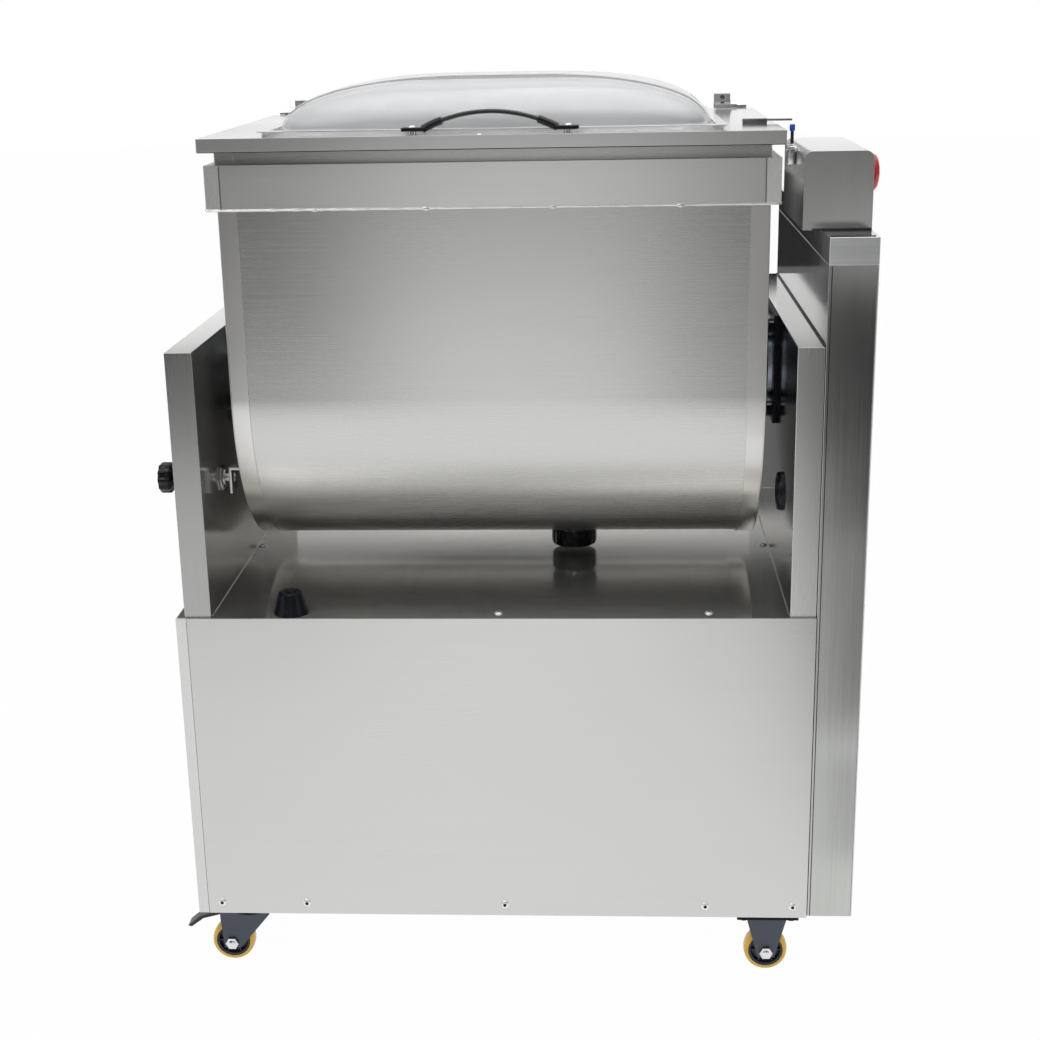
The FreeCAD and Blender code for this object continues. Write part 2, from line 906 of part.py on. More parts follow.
def make_drive_column():
    """The chain case: a folded shell open to the right, its cover and its cap."""
    y = ("front_y + housing_inset", "rear_y - housing_inset")
    outside = block(("housing_x", "outer_x - panel_gauge"), y, ("caster_height", "cap_bottom"))
    inside = block(
        ("housing_x + panel_gauge", "outer_x + 1"),
        (f"{y[0]} + panel_gauge", f"{y[1]} - panel_gauge"),
        ("caster_height + panel_gauge", "cap_bottom + 1"),
    )
    wall = ("housing_x - 1", "housing_x + panel_gauge + 1")
    shaft_hole = rod("x", wall, "shaft_radius + shaft_passage", y="axis_y", z="axis_height")
    output_hole = rod("x", wall, "output_radius + shaft_passage", y="axis_y", z="gearbox_height")
    keep(cut(outside, inside, shaft_hole, output_hole), "column_shell")
    cover = block(("outer_x - panel_gauge", "outer_x"), y, ("caster_height", "cap_bottom"))
    keep(cover, "column_cover")
    top = block(("housing_x", "outer_x"), y, ("cap_bottom", "housing_height"))
    hollow = block(
        ("housing_x + panel_gauge", "outer_x - panel_gauge"),
        (f"{y[0]} + panel_gauge", f"{y[1]} - panel_gauge"),
        ("cap_bottom - 1", "housing_height - panel_gauge"),
    )
    keep(cut(top, hollow), "column_cap")


# Control box


def button_places():
    """Where the three buttons sit along the control box."""
    return ["button_y - button_pitch", "button_y", "button_y + button_pitch"]


def button_hole(span, place_y, radius="button_radius + button_clearance"):
    """A round hole for a button."""
    return rod("x", span, radius, y=place_y, z="button_z")


def make_control_box():
    """The switch box on top of the column, with rounded upper edges."""
    outside = block(("box_x", "outer_x"), ("box_front", "box_rear"), ("housing_height", "box_top"))
    top = size("box_top")
    rounded = round_edges(
        outside,
        "box_round",
        lambda edge: runs_along(edge, Vector(0, 1, 0)) and edge.BoundBox.ZMin > top - 0.01,
    )
    inside = block(
        ("box_x + panel_gauge", "outer_x - panel_gauge"),
        ("box_front + panel_gauge", "box_rear - panel_gauge"),
        ("housing_height + panel_gauge", "box_top - box_round"),
    )
    wall = ("outer_x - panel_gauge - 1", "outer_x + 1")
    holes = [button_hole(wall, place_y) for place_y in button_places()]
    keep(cut(rounded, inside, *holes), "control_box")


def make_button_plate():
    """The plate on the box's outer side with a raised ring round each button."""
    plate = block(
        ("outer_x", "outer_x + button_plate_gauge"),
        ("button_y - button_plate_length / 2", "button_y + button_plate_length / 2"),
        ("button_z - button_plate_height / 2", "button_z + button_plate_height / 2"),
    )
    rings = [
        button_hole(("outer_x", "bezel_face"), place_y, "bezel_radius")
        for place_y in button_places()
    ]
    holes = [button_hole(("outer_x - 1", "bezel_face + 1"), place_y) for place_y in button_places()]
    keep(cut(fuse(plate, *rings), *holes), "button_plate")


def make_buttons():
    """The stop mushroom and the two flush drive buttons."""
    stop = [
        (0, "-bezel_height - button_plate_gauge - button_tail"),
        ("button_radius", "-bezel_height - button_plate_gauge - button_tail"),
        ("button_radius", "estop_gap"),
        ("estop_radius", "estop_gap"),
        *domed("estop_radius", "estop_gap + estop_edge", "estop_thickness - estop_edge"),
    ]
    front, middle, rear = button_places()
    keep(turned("stop_body", "x", stop, "bezel_face", middle, "button_z"), "stop_button")
    flush = [
        (0, "-bezel_height - button_plate_gauge - button_tail"),
        ("button_radius", "-bezel_height - button_plate_gauge - button_tail"),
        ("button_radius", "button_proud - button_chamfer"),
        ("button_radius - button_chamfer", "button_proud"),
        (0, "button_proud"),
    ]
    for label, place_y in (("forward_button", front), ("reverse_button", rear)):
        keep(turned(label + "_body", "x", flush, "bezel_face", place_y, "button_z"), label)


def make_lid_sensor():
    """The proximity sensor beside the lid, standing in a bracket on the control box."""
    bracket = block(
        ("sensor_x - sensor_radius * 2", "box_x"),
        ("sensor_y - sensor_bracket / 2", "sensor_y + sensor_bracket / 2"),
        ("box_top - box_round - sensor_bracket", "box_top - box_round"),
    )
    probe = turned(
        "probe_body",
        "z",
        [
            (0, "-sensor_length"),
            ("sensor_radius", "-sensor_length"),
            ("sensor_radius", "-sensor_collar"),
            ("sensor_radius + sensor_step", "-sensor_collar"),
            ("sensor_radius + sensor_step", "-sensor_tip"),
            ("sensor_radius - sensor_tip", 0),
            (0, 0),
        ],
        "sensor_x",
        "sensor_y",
        "sensor_top",
    )
    keep(fuse(bracket, probe), "lid_sensor")


# Bearings on the tilt axis


def axial(span, radius):
    """A cylinder on the tilt axis."""
    return rod("x", span, radius, y="axis_y", z="axis_height")


def bearing_bolts(face, step):
    """Four bolt heads on a square bearing plate, standing away from the cheek."""
    arm = "bearing_plate / 2 - bolt_inset"
    ends = (face, f"{face} + bolt_head_height") if step > 0 else (f"{face} - bolt_head_height", face)
    return [
        rod("x", ends, "bolt_head_radius", y=f"axis_y {y} ({arm})", z=f"axis_height {z} ({arm})")
        for y in "+-"
        for z in "+-"
    ]


def square_plate(x):
    """A square plate centred on the tilt axis."""
    half = "bearing_plate / 2"
    y = (f"axis_y - {half}", f"axis_y + {half}")
    return block(x, y, (f"axis_height - {half}", f"axis_height + {half}"))


def make_bearing_housings():
    """A flanged housing on the inner face of each cheek."""
    left = fuse(
        square_plate(("left_cheek_in", "left_cheek_in + bearing_plate_gauge")),
        axial(("left_cheek_in", "left_bush_face"), "bearing_collar_radius"),
        axial(("left_cheek_x + panel_gauge", "left_cheek_in"), "housing_boss_radius"),
        *bearing_bolts("left_cheek_in + bearing_plate_gauge", 1),
    )
    left_bore = axial(("left_cheek_x + panel_gauge - 1", "left_bush_face + 1"), "bush_radius")
    right = fuse(
        square_plate(("right_cheek_in - bearing_plate_gauge", "right_cheek_in")),
        axial(("right_bush_face", "right_cheek_in"), "bearing_collar_radius"),
        axial(("right_cheek_in", "right_x - panel_gauge"), "housing_boss_radius"),
        *bearing_bolts("right_cheek_in - bearing_plate_gauge", -1),
    )
    right_bore = axial(("right_bush_face - 1", "right_x - panel_gauge + 1"), "bush_radius")
    keep(fuse(cut(left, left_bore), cut(right, right_bore)), "bearing_housings")


def make_bushes():
    """A flanged plain bush in each housing."""
    bore = "journal_radius + fit_clearance"
    left = fuse(
        axial(("left_bush_face", "left_bush_face + bush_flange"), "bush_flange_radius"),
        axial(("left_journal_end", "left_bush_face"), "bush_radius"),
    )
    left_bore = axial(("left_journal_end - 1", "left_hub_face"), bore)
    right = fuse(
        axial(("right_bush_face - bush_flange", "right_bush_face"), "bush_flange_radius"),
        axial(("right_bush_face", "right_journal_end"), "bush_radius"),
    )
    right_bore = axial(("right_hub_face", "right_journal_end + 1"), bore)
    keep(fuse(cut(left, left_bore), cut(right, right_bore)), "bearing_bushes")


def make_trunnions():
    """The hollow journals that the trough hangs on, each with its hub."""
    left = fuse(
        axial(("left_hub_face", "trough_x"), "hub_radius"),
        axial(("left_journal_end", "left_hub_face"), "journal_radius"),
    )
    keep(cut(left, axial(("left_journal_end - 1", "trough_x + 1"), "bore_radius")), "left_trunnion")
    right = fuse(
        axial(("trough_end", "right_hub_face"), "hub_radius"),
        axial(("right_hub_face", "right_journal_end"), "journal_radius"),
    )
    bore = axial(("trough_end - 1", "right_journal_end + 1"), "bore_radius")
    keep(cut(right, bore), "right_trunnion")


# Trough


def trough_solid(x, radius, top):
    """A solid with the trough's section: a half round below, straight sides above."""
    round_part = axial(x, radius)
    y = (f"axis_y - ({radius})", f"axis_y + ({radius})")
    return fuse(round_part, block(x, y, ("axis_height", top)))


def make_trough_shell():
    """The rolled wall of the trough with a band at each end and its drain spout."""
    x = ("trough_x + end_gauge", "trough_end - end_gauge")
    outside = fuse(
        trough_solid(x, "shell_radius", "wall_top"),
        trough_solid((x[0], "trough_x + end_band"), "trough_radius", "wall_top"),
        trough_solid(("trough_end - end_band", x[1]), "trough_radius", "wall_top"),
    )
    spout = rod("z", ("spout_end", "trough_bottom + spout_root"), "spout_radius", x="drain_x", y="axis_y")
    inside = trough_solid((f"{x[0]} - 1", f"{x[1]} + 1"), "inner_radius", "wall_top + 1")
    bore = rod("z", ("spout_end - 1", "axis_height"), "spout_bore", x="drain_x", y="axis_y")
    keep(cut(fuse(outside, spout), inside, bore), "trough_shell")


def trough_end_plate(low, high):
    """A flat end plate with the hole for the shaft."""
    plate = trough_solid((low, high), "trough_radius", "wall_top")
    return cut(plate, axial((f"{low} - 1", f"{high} + 1"), "bore_radius"))


def make_trough_ends():
    """The two end plates, with the tilt lock's ear on the left one."""
    left = trough_end_plate("trough_x", "trough_x + end_gauge")
    half = "lock_ear_size / 2"
    y = (f"lock_y - {half}", f"lock_y + {half}")
    face = block(
        ("ear_face", "ear_face + lock_ear_gauge"),
        y,
        (f"lock_height - {half}", f"lock_height + {half}"),
    )
    web = block(
        ("ear_face", "trough_x"),
        y,
        (f"lock_height + {half} - lock_ear_gauge", f"lock_height + {half}"),
    )
    hole = rod(
        "x",
        ("ear_face - 1", "ear_face + lock_ear_gauge + 1"),
        "lock_pin_radius + lock_hole_clearance",
        y="lock_y",
        z="lock_height",
    )
    keep(cut(fuse(left, face, web), hole), "left_trough_end")
    keep(trough_end_plate("trough_end - end_gauge", "trough_end"), "right_trough_end")


def make_trough_rim():
    """The folded band that stiffens the mouth of the trough."""
    x = ("trough_x - band_reach", "trough_end + band_reach")
    reach = "(trough_radius + band_reach)"
    outside = block(x, (f"axis_y - {reach}", f"axis_y + {reach}"), ("band_bottom", "band_top"))
    hollow = block(
        (f"{x[0]} + band_gauge", f"{x[1]} - band_gauge"),
        (f"axis_y - {reach} + band_gauge", f"axis_y + {reach} - band_gauge"),
        ("band_bottom + band_gauge", "band_top - band_gauge"),
    )
    mouth = block(
        ("trough_x", "trough_end"),
        ("axis_y - trough_radius", "axis_y + trough_radius"),
        ("band_bottom - 1", "band_top + 1"),
    )
    keep(cut(outside, hollow, mouth), "trough_rim")


def make_shaft_seals():
    """The rubber rings where the shaft enters the trough."""
    spans = [
        ("trough_x + end_gauge", "trough_x + end_gauge + seal_length"),
        ("trough_end - end_gauge - seal_length", "trough_end - end_gauge"),
    ]
    rings = [cut(axial(span, "seal_radius"), axial(span, "bore_radius")) for span in spans]
    keep(fuse(*rings), "shaft_seals")


def make_drain_cap():
    """The screw cap under the trough's spout, with a milled edge."""
    radius = "drain_cap_radius"
    bore = "spout_radius + drain_cap_clearance"
    profile = [
        (0, 0),
        (f"{radius} - drain_cap_chamfer", 0),
        (radius, "drain_cap_chamfer"),
        (radius, "drain_cap_height - drain_cap_chamfer"),
        (f"{radius} - drain_cap_chamfer", "drain_cap_height"),
        (bore, "drain_cap_height"),
        (bore, "drain_cap_floor"),
        (0, "drain_cap_floor"),
    ]
    spot = ("drain_x", "axis_y", "drain_cap_z")
    keep(turned("drain_cap_body", "z", profile, *spot), "drain_cap")


# Agitator and drive


def make_agitator():
    """The mixing shaft and its paddles, set alternately up and down."""
    far_end = "chain_x + sprocket_hub_length / 2 + shaft_end_reach"
    shaft = axial(("left_journal_end + shaft_end_gap", far_end), "shaft_radius")
    keep(shaft, "agitator_shaft")
    paddles = []
    tip = "inner_radius - blade_tip_gap"
    count = int(size("arm_count"))
    for number in range(count):
        side = "+" if number % 2 == 0 else "-"
        facing = "z" if number % 2 == 0 else "-z"
        place_x = f"trough_x + ({number} + 0.5) * trough_length / {count}"
        blade = new_body(f"blade_{number}_body", facing, place_x, "axis_y", "axis_height")
        turn = size("blade_angle") * (1 if number % 4 < 2 else -1)
        blade.Placement.Rotation = TURNS[facing].multiply(Rotation(Vector(0, 0, 1), turn))
        outline = new_sketch(
            blade,
            "XZ_Plane",
            rectangle(
                "-blade_length / 2",
                "blade_length / 2",
                f"{tip} - blade_height",
                tip,
            ),
        )
        pad(blade, outline, "blade_thickness")
        reach = f"axis_height {side} ({tip} - blade_height / 2)"
        root = "axis_height"
        span = (root, reach) if side == "+" else (reach, root)
        arm = rod("z", span, "arm_radius", x=place_x, y="axis_y")
        paddles.append(fuse(arm, blade))
    bore = axial(("trough_x", "trough_end"), "shaft_radius")
    keep(cut(fuse(*paddles), bore), "agitator_paddles")


def sprocket(label, teeth, pitch_radius, hub_radius, bore, height):
    """A chain wheel: a disc with a gap for each roller, on its hub."""
    body = new_body(label, "x", "chain_x - sprocket_thickness / 2", "axis_y", height)
    disc = new_sketch(body, "XY_Plane")
    draw_circle(disc, 0, 0, f"{pitch_radius} + tooth_rise")
    pad(body, disc, "sprocket_thickness")
    gap = new_sketch(body, "XY_Plane")
    draw_circle(gap, pitch_radius, 0, "roller_radius")
    cutter = pocket(body, gap, "sprocket_thickness", back=True)
    ring = body.newObject("PartDesign::PolarPattern", label + "_gaps")
    ring.Originals = [cutter]
    ring.Axis = (next(item for item in body.Origin.OriginFeatures if item.Role == "Z_Axis"), [""])
    ring.Angle = 360
    tie(ring, Occurrences=teeth)
    body.Tip = ring
    hub = rod(
        "x",
        ("chain_x - sprocket_hub_length / 2", "chain_x + sprocket_hub_length / 2"),
        hub_radius,
        y="axis_y",
        z=height,
    )
    whole = fuse(body, hub)
    if bore is None:
        return whole
    return cut(whole, rod("x", ("housing_x", "outer_x"), bore, y="axis_y", z=height))


def make_sprockets():
    """The wheel on the mixing shaft, and the wheel on the gearbox's output shaft."""
    driven = sprocket(
        "driven_wheel_body",
        "driven_teeth",
        "driven_pitch_radius",
        "sprocket_hub_radius",
        "shaft_radius",
        "axis_height",
    )
    keep(driven, "driven_sprocket")
    driver = sprocket(
        "driver_wheel_body",
        "driver_teeth",
        "driver_pitch_radius",
        "driver_hub_radius",
        None,
        "gearbox_height",
    )
    output = rod(
        "x",
        ("gearbox_x + gearbox_length - output_depth", "chain_x"),
        "output_radius",
        y="axis_y",
        z="gearbox_height",
    )
    keep(fuse(driver, output), "drive_sprocket")


def loop_face(low_radius, high_radius, distance):
    """The face inside a belt line round a small wheel below and a large wheel above."""
    lean = math.asin((high_radius - low_radius) / distance)
    cos, sin = math.cos(lean), math.sin(lean)
    low_right = Vector(0, low_radius * cos, -low_radius * sin)
    low_left = Vector(0, -low_radius * cos, -low_radius * sin)
    high_right = Vector(0, high_radius * cos, distance - high_radius * sin)
    high_left = Vector(0, -high_radius * cos, distance - high_radius * sin)
    edges = [
        Part.LineSegment(low_right, high_right).toShape(),
        Part.Arc(high_right, Vector(0, 0, distance + high_radius), high_left).toShape(),
        Part.LineSegment(high_left, low_left).toShape(),
        Part.Arc(low_left, Vector(0, 0, -low_radius), low_right).toShape(),
    ]
    return Part.Face(Part.Wire(edges))


def make_drive_chain():
    """The chain's two rows of link plates, tied by the pins of its straight runs."""
    low, high = size("driver_pitch_radius"), size("driven_pitch_radius")
    distance = size("axis_height") - size("gearbox_height")
    half = size("chain_plate_height") / 2
    inner, gauge = size("chain_plate_inner"), size("chain_plate_gauge")
    ring = loop_face(low + half, high + half, distance).cut(
        loop_face(low - half, high - half, distance)
    )
    solids = []
    for start in (inner, -inner - gauge):
        plate = ring.extrude(Vector(gauge, 0, 0))
        plate.translate(Vector(start, 0, 0))
        solids.append(plate)
    lean = math.asin((high - low) / distance)
    run = distance * math.cos(lean)
    pitch, roller = size("chain_pitch"), size("roller_radius")
    bare_links = 4
    pins = int(run / pitch) - bare_links
    for number in range(pins):
        along = run / 2 + (number - (pins - 1) / 2) * pitch
        for side in (-1, 1):
            y = side * (low * math.cos(lean) + along * math.sin(lean))
            z = along * math.cos(lean) - low * math.sin(lean)
            foot = Vector(-inner, y, z)
            solids.append(Part.makeCylinder(roller, 2 * inner, foot, Vector(1, 0, 0)))
    chain = doc.addObject("Part::Feature", "Chain")
    chain.Shape = solids[0].multiFuse(solids[1:])
    keep(place(chain, "chain_x", "axis_y", "gearbox_height"), "drive_chain")


def make_gearbox():
    """The reduction gearbox on its folded stand."""
    x = ("gearbox_x", "gearbox_x + gearbox_length")
    y = ("axis_y - gearbox_width / 2", "axis_y + gearbox_width / 2")
    case = block(x, y, ("gearbox_base", "gearbox_base + gearbox_tall"))
    rounded = round_edges(case, "gearbox_round", lambda edge: runs_along(edge, Vector(1, 0, 0)))
    face = "gearbox_x + gearbox_length"
    bore_span = (f"{face} - output_depth - output_end_gap", f"{face} + nose_length + 1")
    nose_span = (face, f"{face} + nose_length")
    nose = rod("x", nose_span, "nose_radius", y="axis_y", z="gearbox_height")
    bore = rod("x", bore_span, "output_radius + fit_clearance", y="axis_y", z="gearbox_height")
    keep(cut(fuse(rounded, nose), bore), "gearbox")
    floor = "caster_height + tray_gauge"
    top = block(x, y, ("gearbox_base - mount_gauge", "gearbox_base"))
    legs = [
        block(x, (y[0], f"{y[0]} + mount_gauge"), (floor, "gearbox_base")),
        block(x, (f"{y[1]} - mount_gauge", y[1]), (floor, "gearbox_base")),
    ]
    keep(fuse(top, *legs), "gearbox_stand")


def make_motor():
    """The motor flanged to the gearbox, with its fan cover and terminal box."""
    radius = "motor_radius"
    cover = "motor_radius - fan_cover_step"
    far_end = "motor_length + fan_cover_length"
    profile = [
        (0, 0),
        (f"{radius} + motor_flange", 0),
        (f"{radius} + motor_flange", "motor_flange_gauge"),
        (radius, "motor_flange_gauge"),
        (radius, "motor_length"),
        (cover, "motor_length"),
        (cover, f"{far_end} - fan_cover_round"),
        (f"{cover} - fan_cover_round", far_end),
        (0, far_end),
    ]
    spot = ("gearbox_x", "axis_y", "gearbox_height")
    drum = turned("motor_drum", "-x", profile, *spot)
    terminals = block(
        ("gearbox_x - terminal_setback - terminal_length", "gearbox_x - terminal_setback"),
        ("axis_y - terminal_width / 2", "axis_y + terminal_width / 2"),
        ("gearbox_height + motor_radius / 2", "gearbox_height + motor_radius + terminal_rise"),
    )
    keep(fuse(drum, terminals), "motor")


# Lid


def ring_block(x, y, z, width):
    """A rectangular frame of one width."""
    outside = block(x, y, z)
    inside = block(
        (f"{x[0]} + {width}", f"{x[1]} - {width}"),
        (f"{y[0]} + {width}", f"{y[1]} - {width}"),
        (f"{z[0]} - 1", f"{z[1]} + 1"),
    )
    return cut(outside, inside)


def dome_span(grow):
    """The dome's extent along X and Y, grown on each side."""
    return (
        (f"mid_x - dome_length / 2 - {grow}", f"mid_x + dome_length / 2 + {grow}"),
        (f"dome_front - {grow}", f"dome_front + dome_width + {grow}"),
    )


def hinge_lug(side):
    """One hinge lug of the lid, on a foot that lies on the plate."""
    near = f"mid_x {side} (hinge_spread - hinge_post / 2)"
    far = f"mid_x {side} post_outer"
    x = (near, far) if side == "+" else (far, near)
    half = "hinge_post_depth / 2"
    post = block(
        x,
        (f"hinge_y - {half}", f"hinge_y + {half}"),
        ("hinge_z - hinge_pin_radius * 2", "hinge_z + hinge_post_rise"),
    )
    foot = block(x, ("lid_rear - lug_foot_length", "hinge_y"), ("lid_top", "lid_top + lug_foot_gauge"))
    return fuse(post, foot)


def make_lid_frame():
    """The lid's plate with its skirt, the dome's window and the hinge lugs."""
    outside = block(
        ("lid_left", "lid_right"),
        ("lid_front", "lid_rear"),
        ("lid_top - lid_skirt", "lid_top"),
    )
    hollow = block(
        ("lid_left + lid_gauge", "lid_right - lid_gauge"),
        ("lid_front + lid_gauge", "lid_rear + 1"),
        ("lid_top - lid_skirt - 1", "lid_under"),
    )
    window_x, window_y = dome_span("-dome_wall")
    window = block(window_x, window_y, ("lid_under - 1", "lid_top + 1"))
    plate = cut(outside, hollow, window)
    bore = rod(
        "x",
        ("lid_left", "lid_right"),
        "hinge_pin_radius + fit_clearance",
        y="hinge_y",
        z="hinge_z",
    )
    keep(cut(fuse(plate, hinge_lug("-"), hinge_lug("+")), bore), "lid_frame")


def make_hinge_brackets():
    """The trough's hinge brackets on the rim band, each with its fixed pin."""
    solids = []
    for side in "-+":
        near = f"mid_x {side} bracket_inner"
        far = f"mid_x {side} bracket_outer"
        x = (near, far) if side == "+" else (far, near)
        y = ("hinge_y - hinge_leaf / 2", "hinge_y + hinge_leaf / 2")
        leaf = block(x, y, ("band_top", "hinge_z"))
        eye = rod("x", x, "hinge_leaf / 2", y="hinge_y", z="hinge_z")
        inner = f"mid_x {side} (hinge_spread - hinge_post / 2)"
        outer = f"mid_x {side} (bracket_outer + hinge_pin_reach)"
        span = (inner, outer) if side == "+" else (outer, inner)
        pin = rod("x", span, "hinge_pin_radius", y="hinge_y", z="hinge_z")
        solids.append(fuse(leaf, eye, pin))
    keep(fuse(*solids), "hinge_brackets")


def rounded_outline(half_x, half_y, corner, height):
    """A closed wire: a rectangle with round corners, lying at a height."""
    wires = []
    middles = []
    for sign_x, sign_y in ((1, 1), (-1, 1), (-1, -1), (1, -1)):
        centre = Vector(sign_x * (half_x - corner), sign_y * (half_y - corner), height)
        start = Vector(sign_x * corner, 0, 0)
        end = Vector(0, sign_y * corner, 0)
        if sign_x * sign_y < 0:
            start, end = end, start
        middle = (start + end).normalize() * corner
        middles.append((centre + start, centre + middle, centre + end))
    for number, (start, middle, end) in enumerate(middles):
        wires.append(Part.Arc(start, middle, end).toShape())
        wires.append(Part.LineSegment(end, middles[(number + 1) % 4][0]).toShape())
    return Part.Wire(wires)


def dome_solid(shrink):
    """The dome's bulge: steep at its foot and nearly flat on top, less an all-round wall."""
    half_x = size("dome_length") / 2 - shrink
    half_y = size("dome_width") / 2 - shrink
    corner = size("dome_corner") - shrink
    height = size("dome_height") - shrink
    steps = 7
    full_turn = math.radians(82)
    most_drawn_in = (half_y - corner) * 0.96
    ease = 1.1
    wires = []
    for step in range(steps):
        angle = full_turn * step / (steps - 1)
        draw_in = most_drawn_in * (1 - math.cos(angle)) ** ease
        level = height * math.sin(angle) / math.sin(full_turn)
        wires.append(rounded_outline(half_x - draw_in, half_y - draw_in, corner, level))
    return Part.makeLoft(wires, True, False)


def make_dome():
    """The clear blown dome with a flat flange round its foot."""
    wall = size("dome_wall")
    flange_x = size("dome_length") / 2 + size("dome_flange")
    flange_y = size("dome_width") / 2 + size("dome_flange")
    flange = Part.makeBox(2 * flange_x, 2 * flange_y, wall, Vector(-flange_x, -flange_y, 0))
    inside = dome_solid(wall)
    shape = flange.fuse(dome_solid(0)).cut(inside)
    dome = doc.addObject("Part::Feature", "Dome")
    dome.Shape = shape
    keep(place(dome, "mid_x", "dome_mid_y", "lid_top"), "dome")


def make_dome_clamp():
    """The flat frame that holds the dome's flange down."""
    x, y = dome_span("dome_flange")
    base = "lid_top + dome_wall"
    frame = ring_block(x, y, (base, f"{base} + clamp_gauge"), "(dome_flange - clamp_setback)")
    keep(frame, "dome_clamp")


def make_lid_seal():
    """The soft strip under the lid, over the trough's wall."""
    spread = "seal_width / 4"
    x = (f"trough_x - {spread}", f"trough_end + {spread}")
    y = (f"axis_y - trough_radius - {spread}", "lid_rear")
    z = ("wall_top + running_gap", "lid_under")
    keep(ring_block(x, y, z, "seal_width"), "lid_seal")


def make_handle():
    """The bow handle near the lid's front edge, and its two feet."""
    arc = doc.addObject("Part::Torus", "HandleArc")
    tie(arc, Radius1="handle_arc", Radius2="handle_radius")
    sweep = 2 * math.degrees(math.asin(size("handle_span / 2 / handle_arc")))
    arc.Angle3 = sweep
    start = Rotation(Vector(0, 0, 1), 90 - sweep / 2)
    arc.Placement = Placement(Vector(), TURNS["-y"].multiply(start))
    lift = "handle_z + handle_tab_gauge / 2"
    place(arc, "mid_x", "handle_y", f"{lift} + handle_rise - handle_arc")
    tabs = []
    for side in "-+":
        near = f"mid_x {side} (handle_span / 2 - handle_lap)"
        far = f"mid_x {side} (handle_span / 2 + handle_tab)"
        x = (near, far) if side == "+" else (far, near)
        y = ("handle_y - handle_tab_width / 2", "handle_y + handle_tab_width / 2")
        tabs.append(block(x, y, ("handle_z", "handle_z + handle_tab_gauge")))
    keep(fuse(arc, *tabs), "handle")
    feet = []
    for side in "-+":
        place_x = f"mid_x {side} (handle_span / 2 + handle_tab / 2)"
        foot = rod("z", ("lid_top", "handle_z"), "handle_foot_radius", x=place_x, y="handle_y")
        top = "handle_z + handle_tab_gauge"
        head_span = (top, f"{top} + handle_screw_head")
        head = rod("z", head_span, "handle_screw_radius", x=place_x, y="handle_y")
        feet += [foot, head]
    keep(fuse(*feet), "handle_feet")


def make_lid_striker():
    """The strip on the lid's right corner that the sensor looks at."""
    y = ("sensor_y - striker_width / 2", "sensor_y + striker_width / 2")
    reach = block(
        ("lid_right - striker_inner", "sensor_x + sensor_radius - striker_short"),
        y,
        ("striker_z", "striker_z + striker_gauge"),
    )
    foot = block(
        ("lid_right - striker_inner", "lid_right - striker_inner + striker_foot"),
        y,
        ("lid_top", "striker_z + striker_gauge"),
    )
    keep(fuse(reach, foot), "lid_striker")


# Tilt lock


def make_tilt_lock():
    """The pin that is pushed into the trough's ear, and the knob outside the cheek."""
    profile = [
        (0, 0),
        ("lock_pin_radius", 0),
        ("lock_pin_radius", "lock_tip - knob_face - lock_pin_chamfer"),
        ("lock_pin_radius - lock_pin_chamfer", "lock_tip - knob_face"),
        (0, "lock_tip - knob_face"),
    ]
    spot = ("knob_face", "lock_y", "lock_height")
    keep(turned("lock_pin_body", "x", profile, *spot), "lock_pin")
    knob = [
        (0, 0),
        ("knob_neck_radius", 0),
        ("knob_neck_radius", "knob_neck"),
        ("knob_radius", "knob_neck + knob_chamfer"),
        ("knob_radius", "knob_length - knob_chamfer"),
        ("knob_radius - knob_chamfer", "knob_length"),
        (0, "knob_length"),
    ]
    keep(turned("lock_knob_body", "-x", knob, *spot), "lock_knob")


# Casters


def caster_corners():
    """The centre of each caster: label, X, Y, and True for a swivel caster."""
    return [
        ("front_left", "swivel_x", "front_y + swivel_setback", True),
        ("rear_left", "swivel_x", "rear_y - swivel_setback", True),
        ("front_right", "fixed_x", "front_y + fixed_setback", False),
        ("rear_right", "fixed_x", "rear_y - fixed_setback", False),
    ]


def caster_plate(x, y):
    """The mounting plate of a caster."""
    return block(
        (f"{x} - plate_length / 2", f"{x} + plate_length / 2"),
        (f"{y} - plate_width / 2", f"{y} + plate_width / 2"),
        ("caster_height - plate_gauge", "caster_height"),
    )


def fork_body(label, x, y, outline, top, floor):
    """A fork: a side outline padded to the full width, less the slot for the wheel."""
    body = new_body(label, "z", x, f"{y} - fork_half", 0)
    pad(body, new_sketch(body, "XZ_Plane", outline), "fork_half * 2", back=True)
    slot = new_sketch(body, "XY_Plane")
    draw_loop(
        slot,
        rectangle(
            "-wheel_radius * 3",
            "wheel_radius * 3",
            "fork_gauge",
            "fork_half * 2 - fork_gauge",
        ),
    )
    pocket(body, slot, f"{top} - {floor}", back=True)
    return body


def axle(x, y):
    """The wheel's axle bolt with a nut at each end."""
    nut = "(fork_half + axle_nut)"
    bolt = rod("y", (f"{y} - {nut}", f"{y} + {nut}"), "axle_radius", x=x, z="wheel_radius")
    ends = [
        rod("y", (f"{y} - {nut}", f"{y} - fork_half"), "axle_nut_radius", x=x, z="wheel_radius"),
        rod("y", (f"{y} + fork_half", f"{y} + {nut}"), "axle_nut_radius", x=x, z="wheel_radius"),
    ]
    return fuse(bolt, *ends)


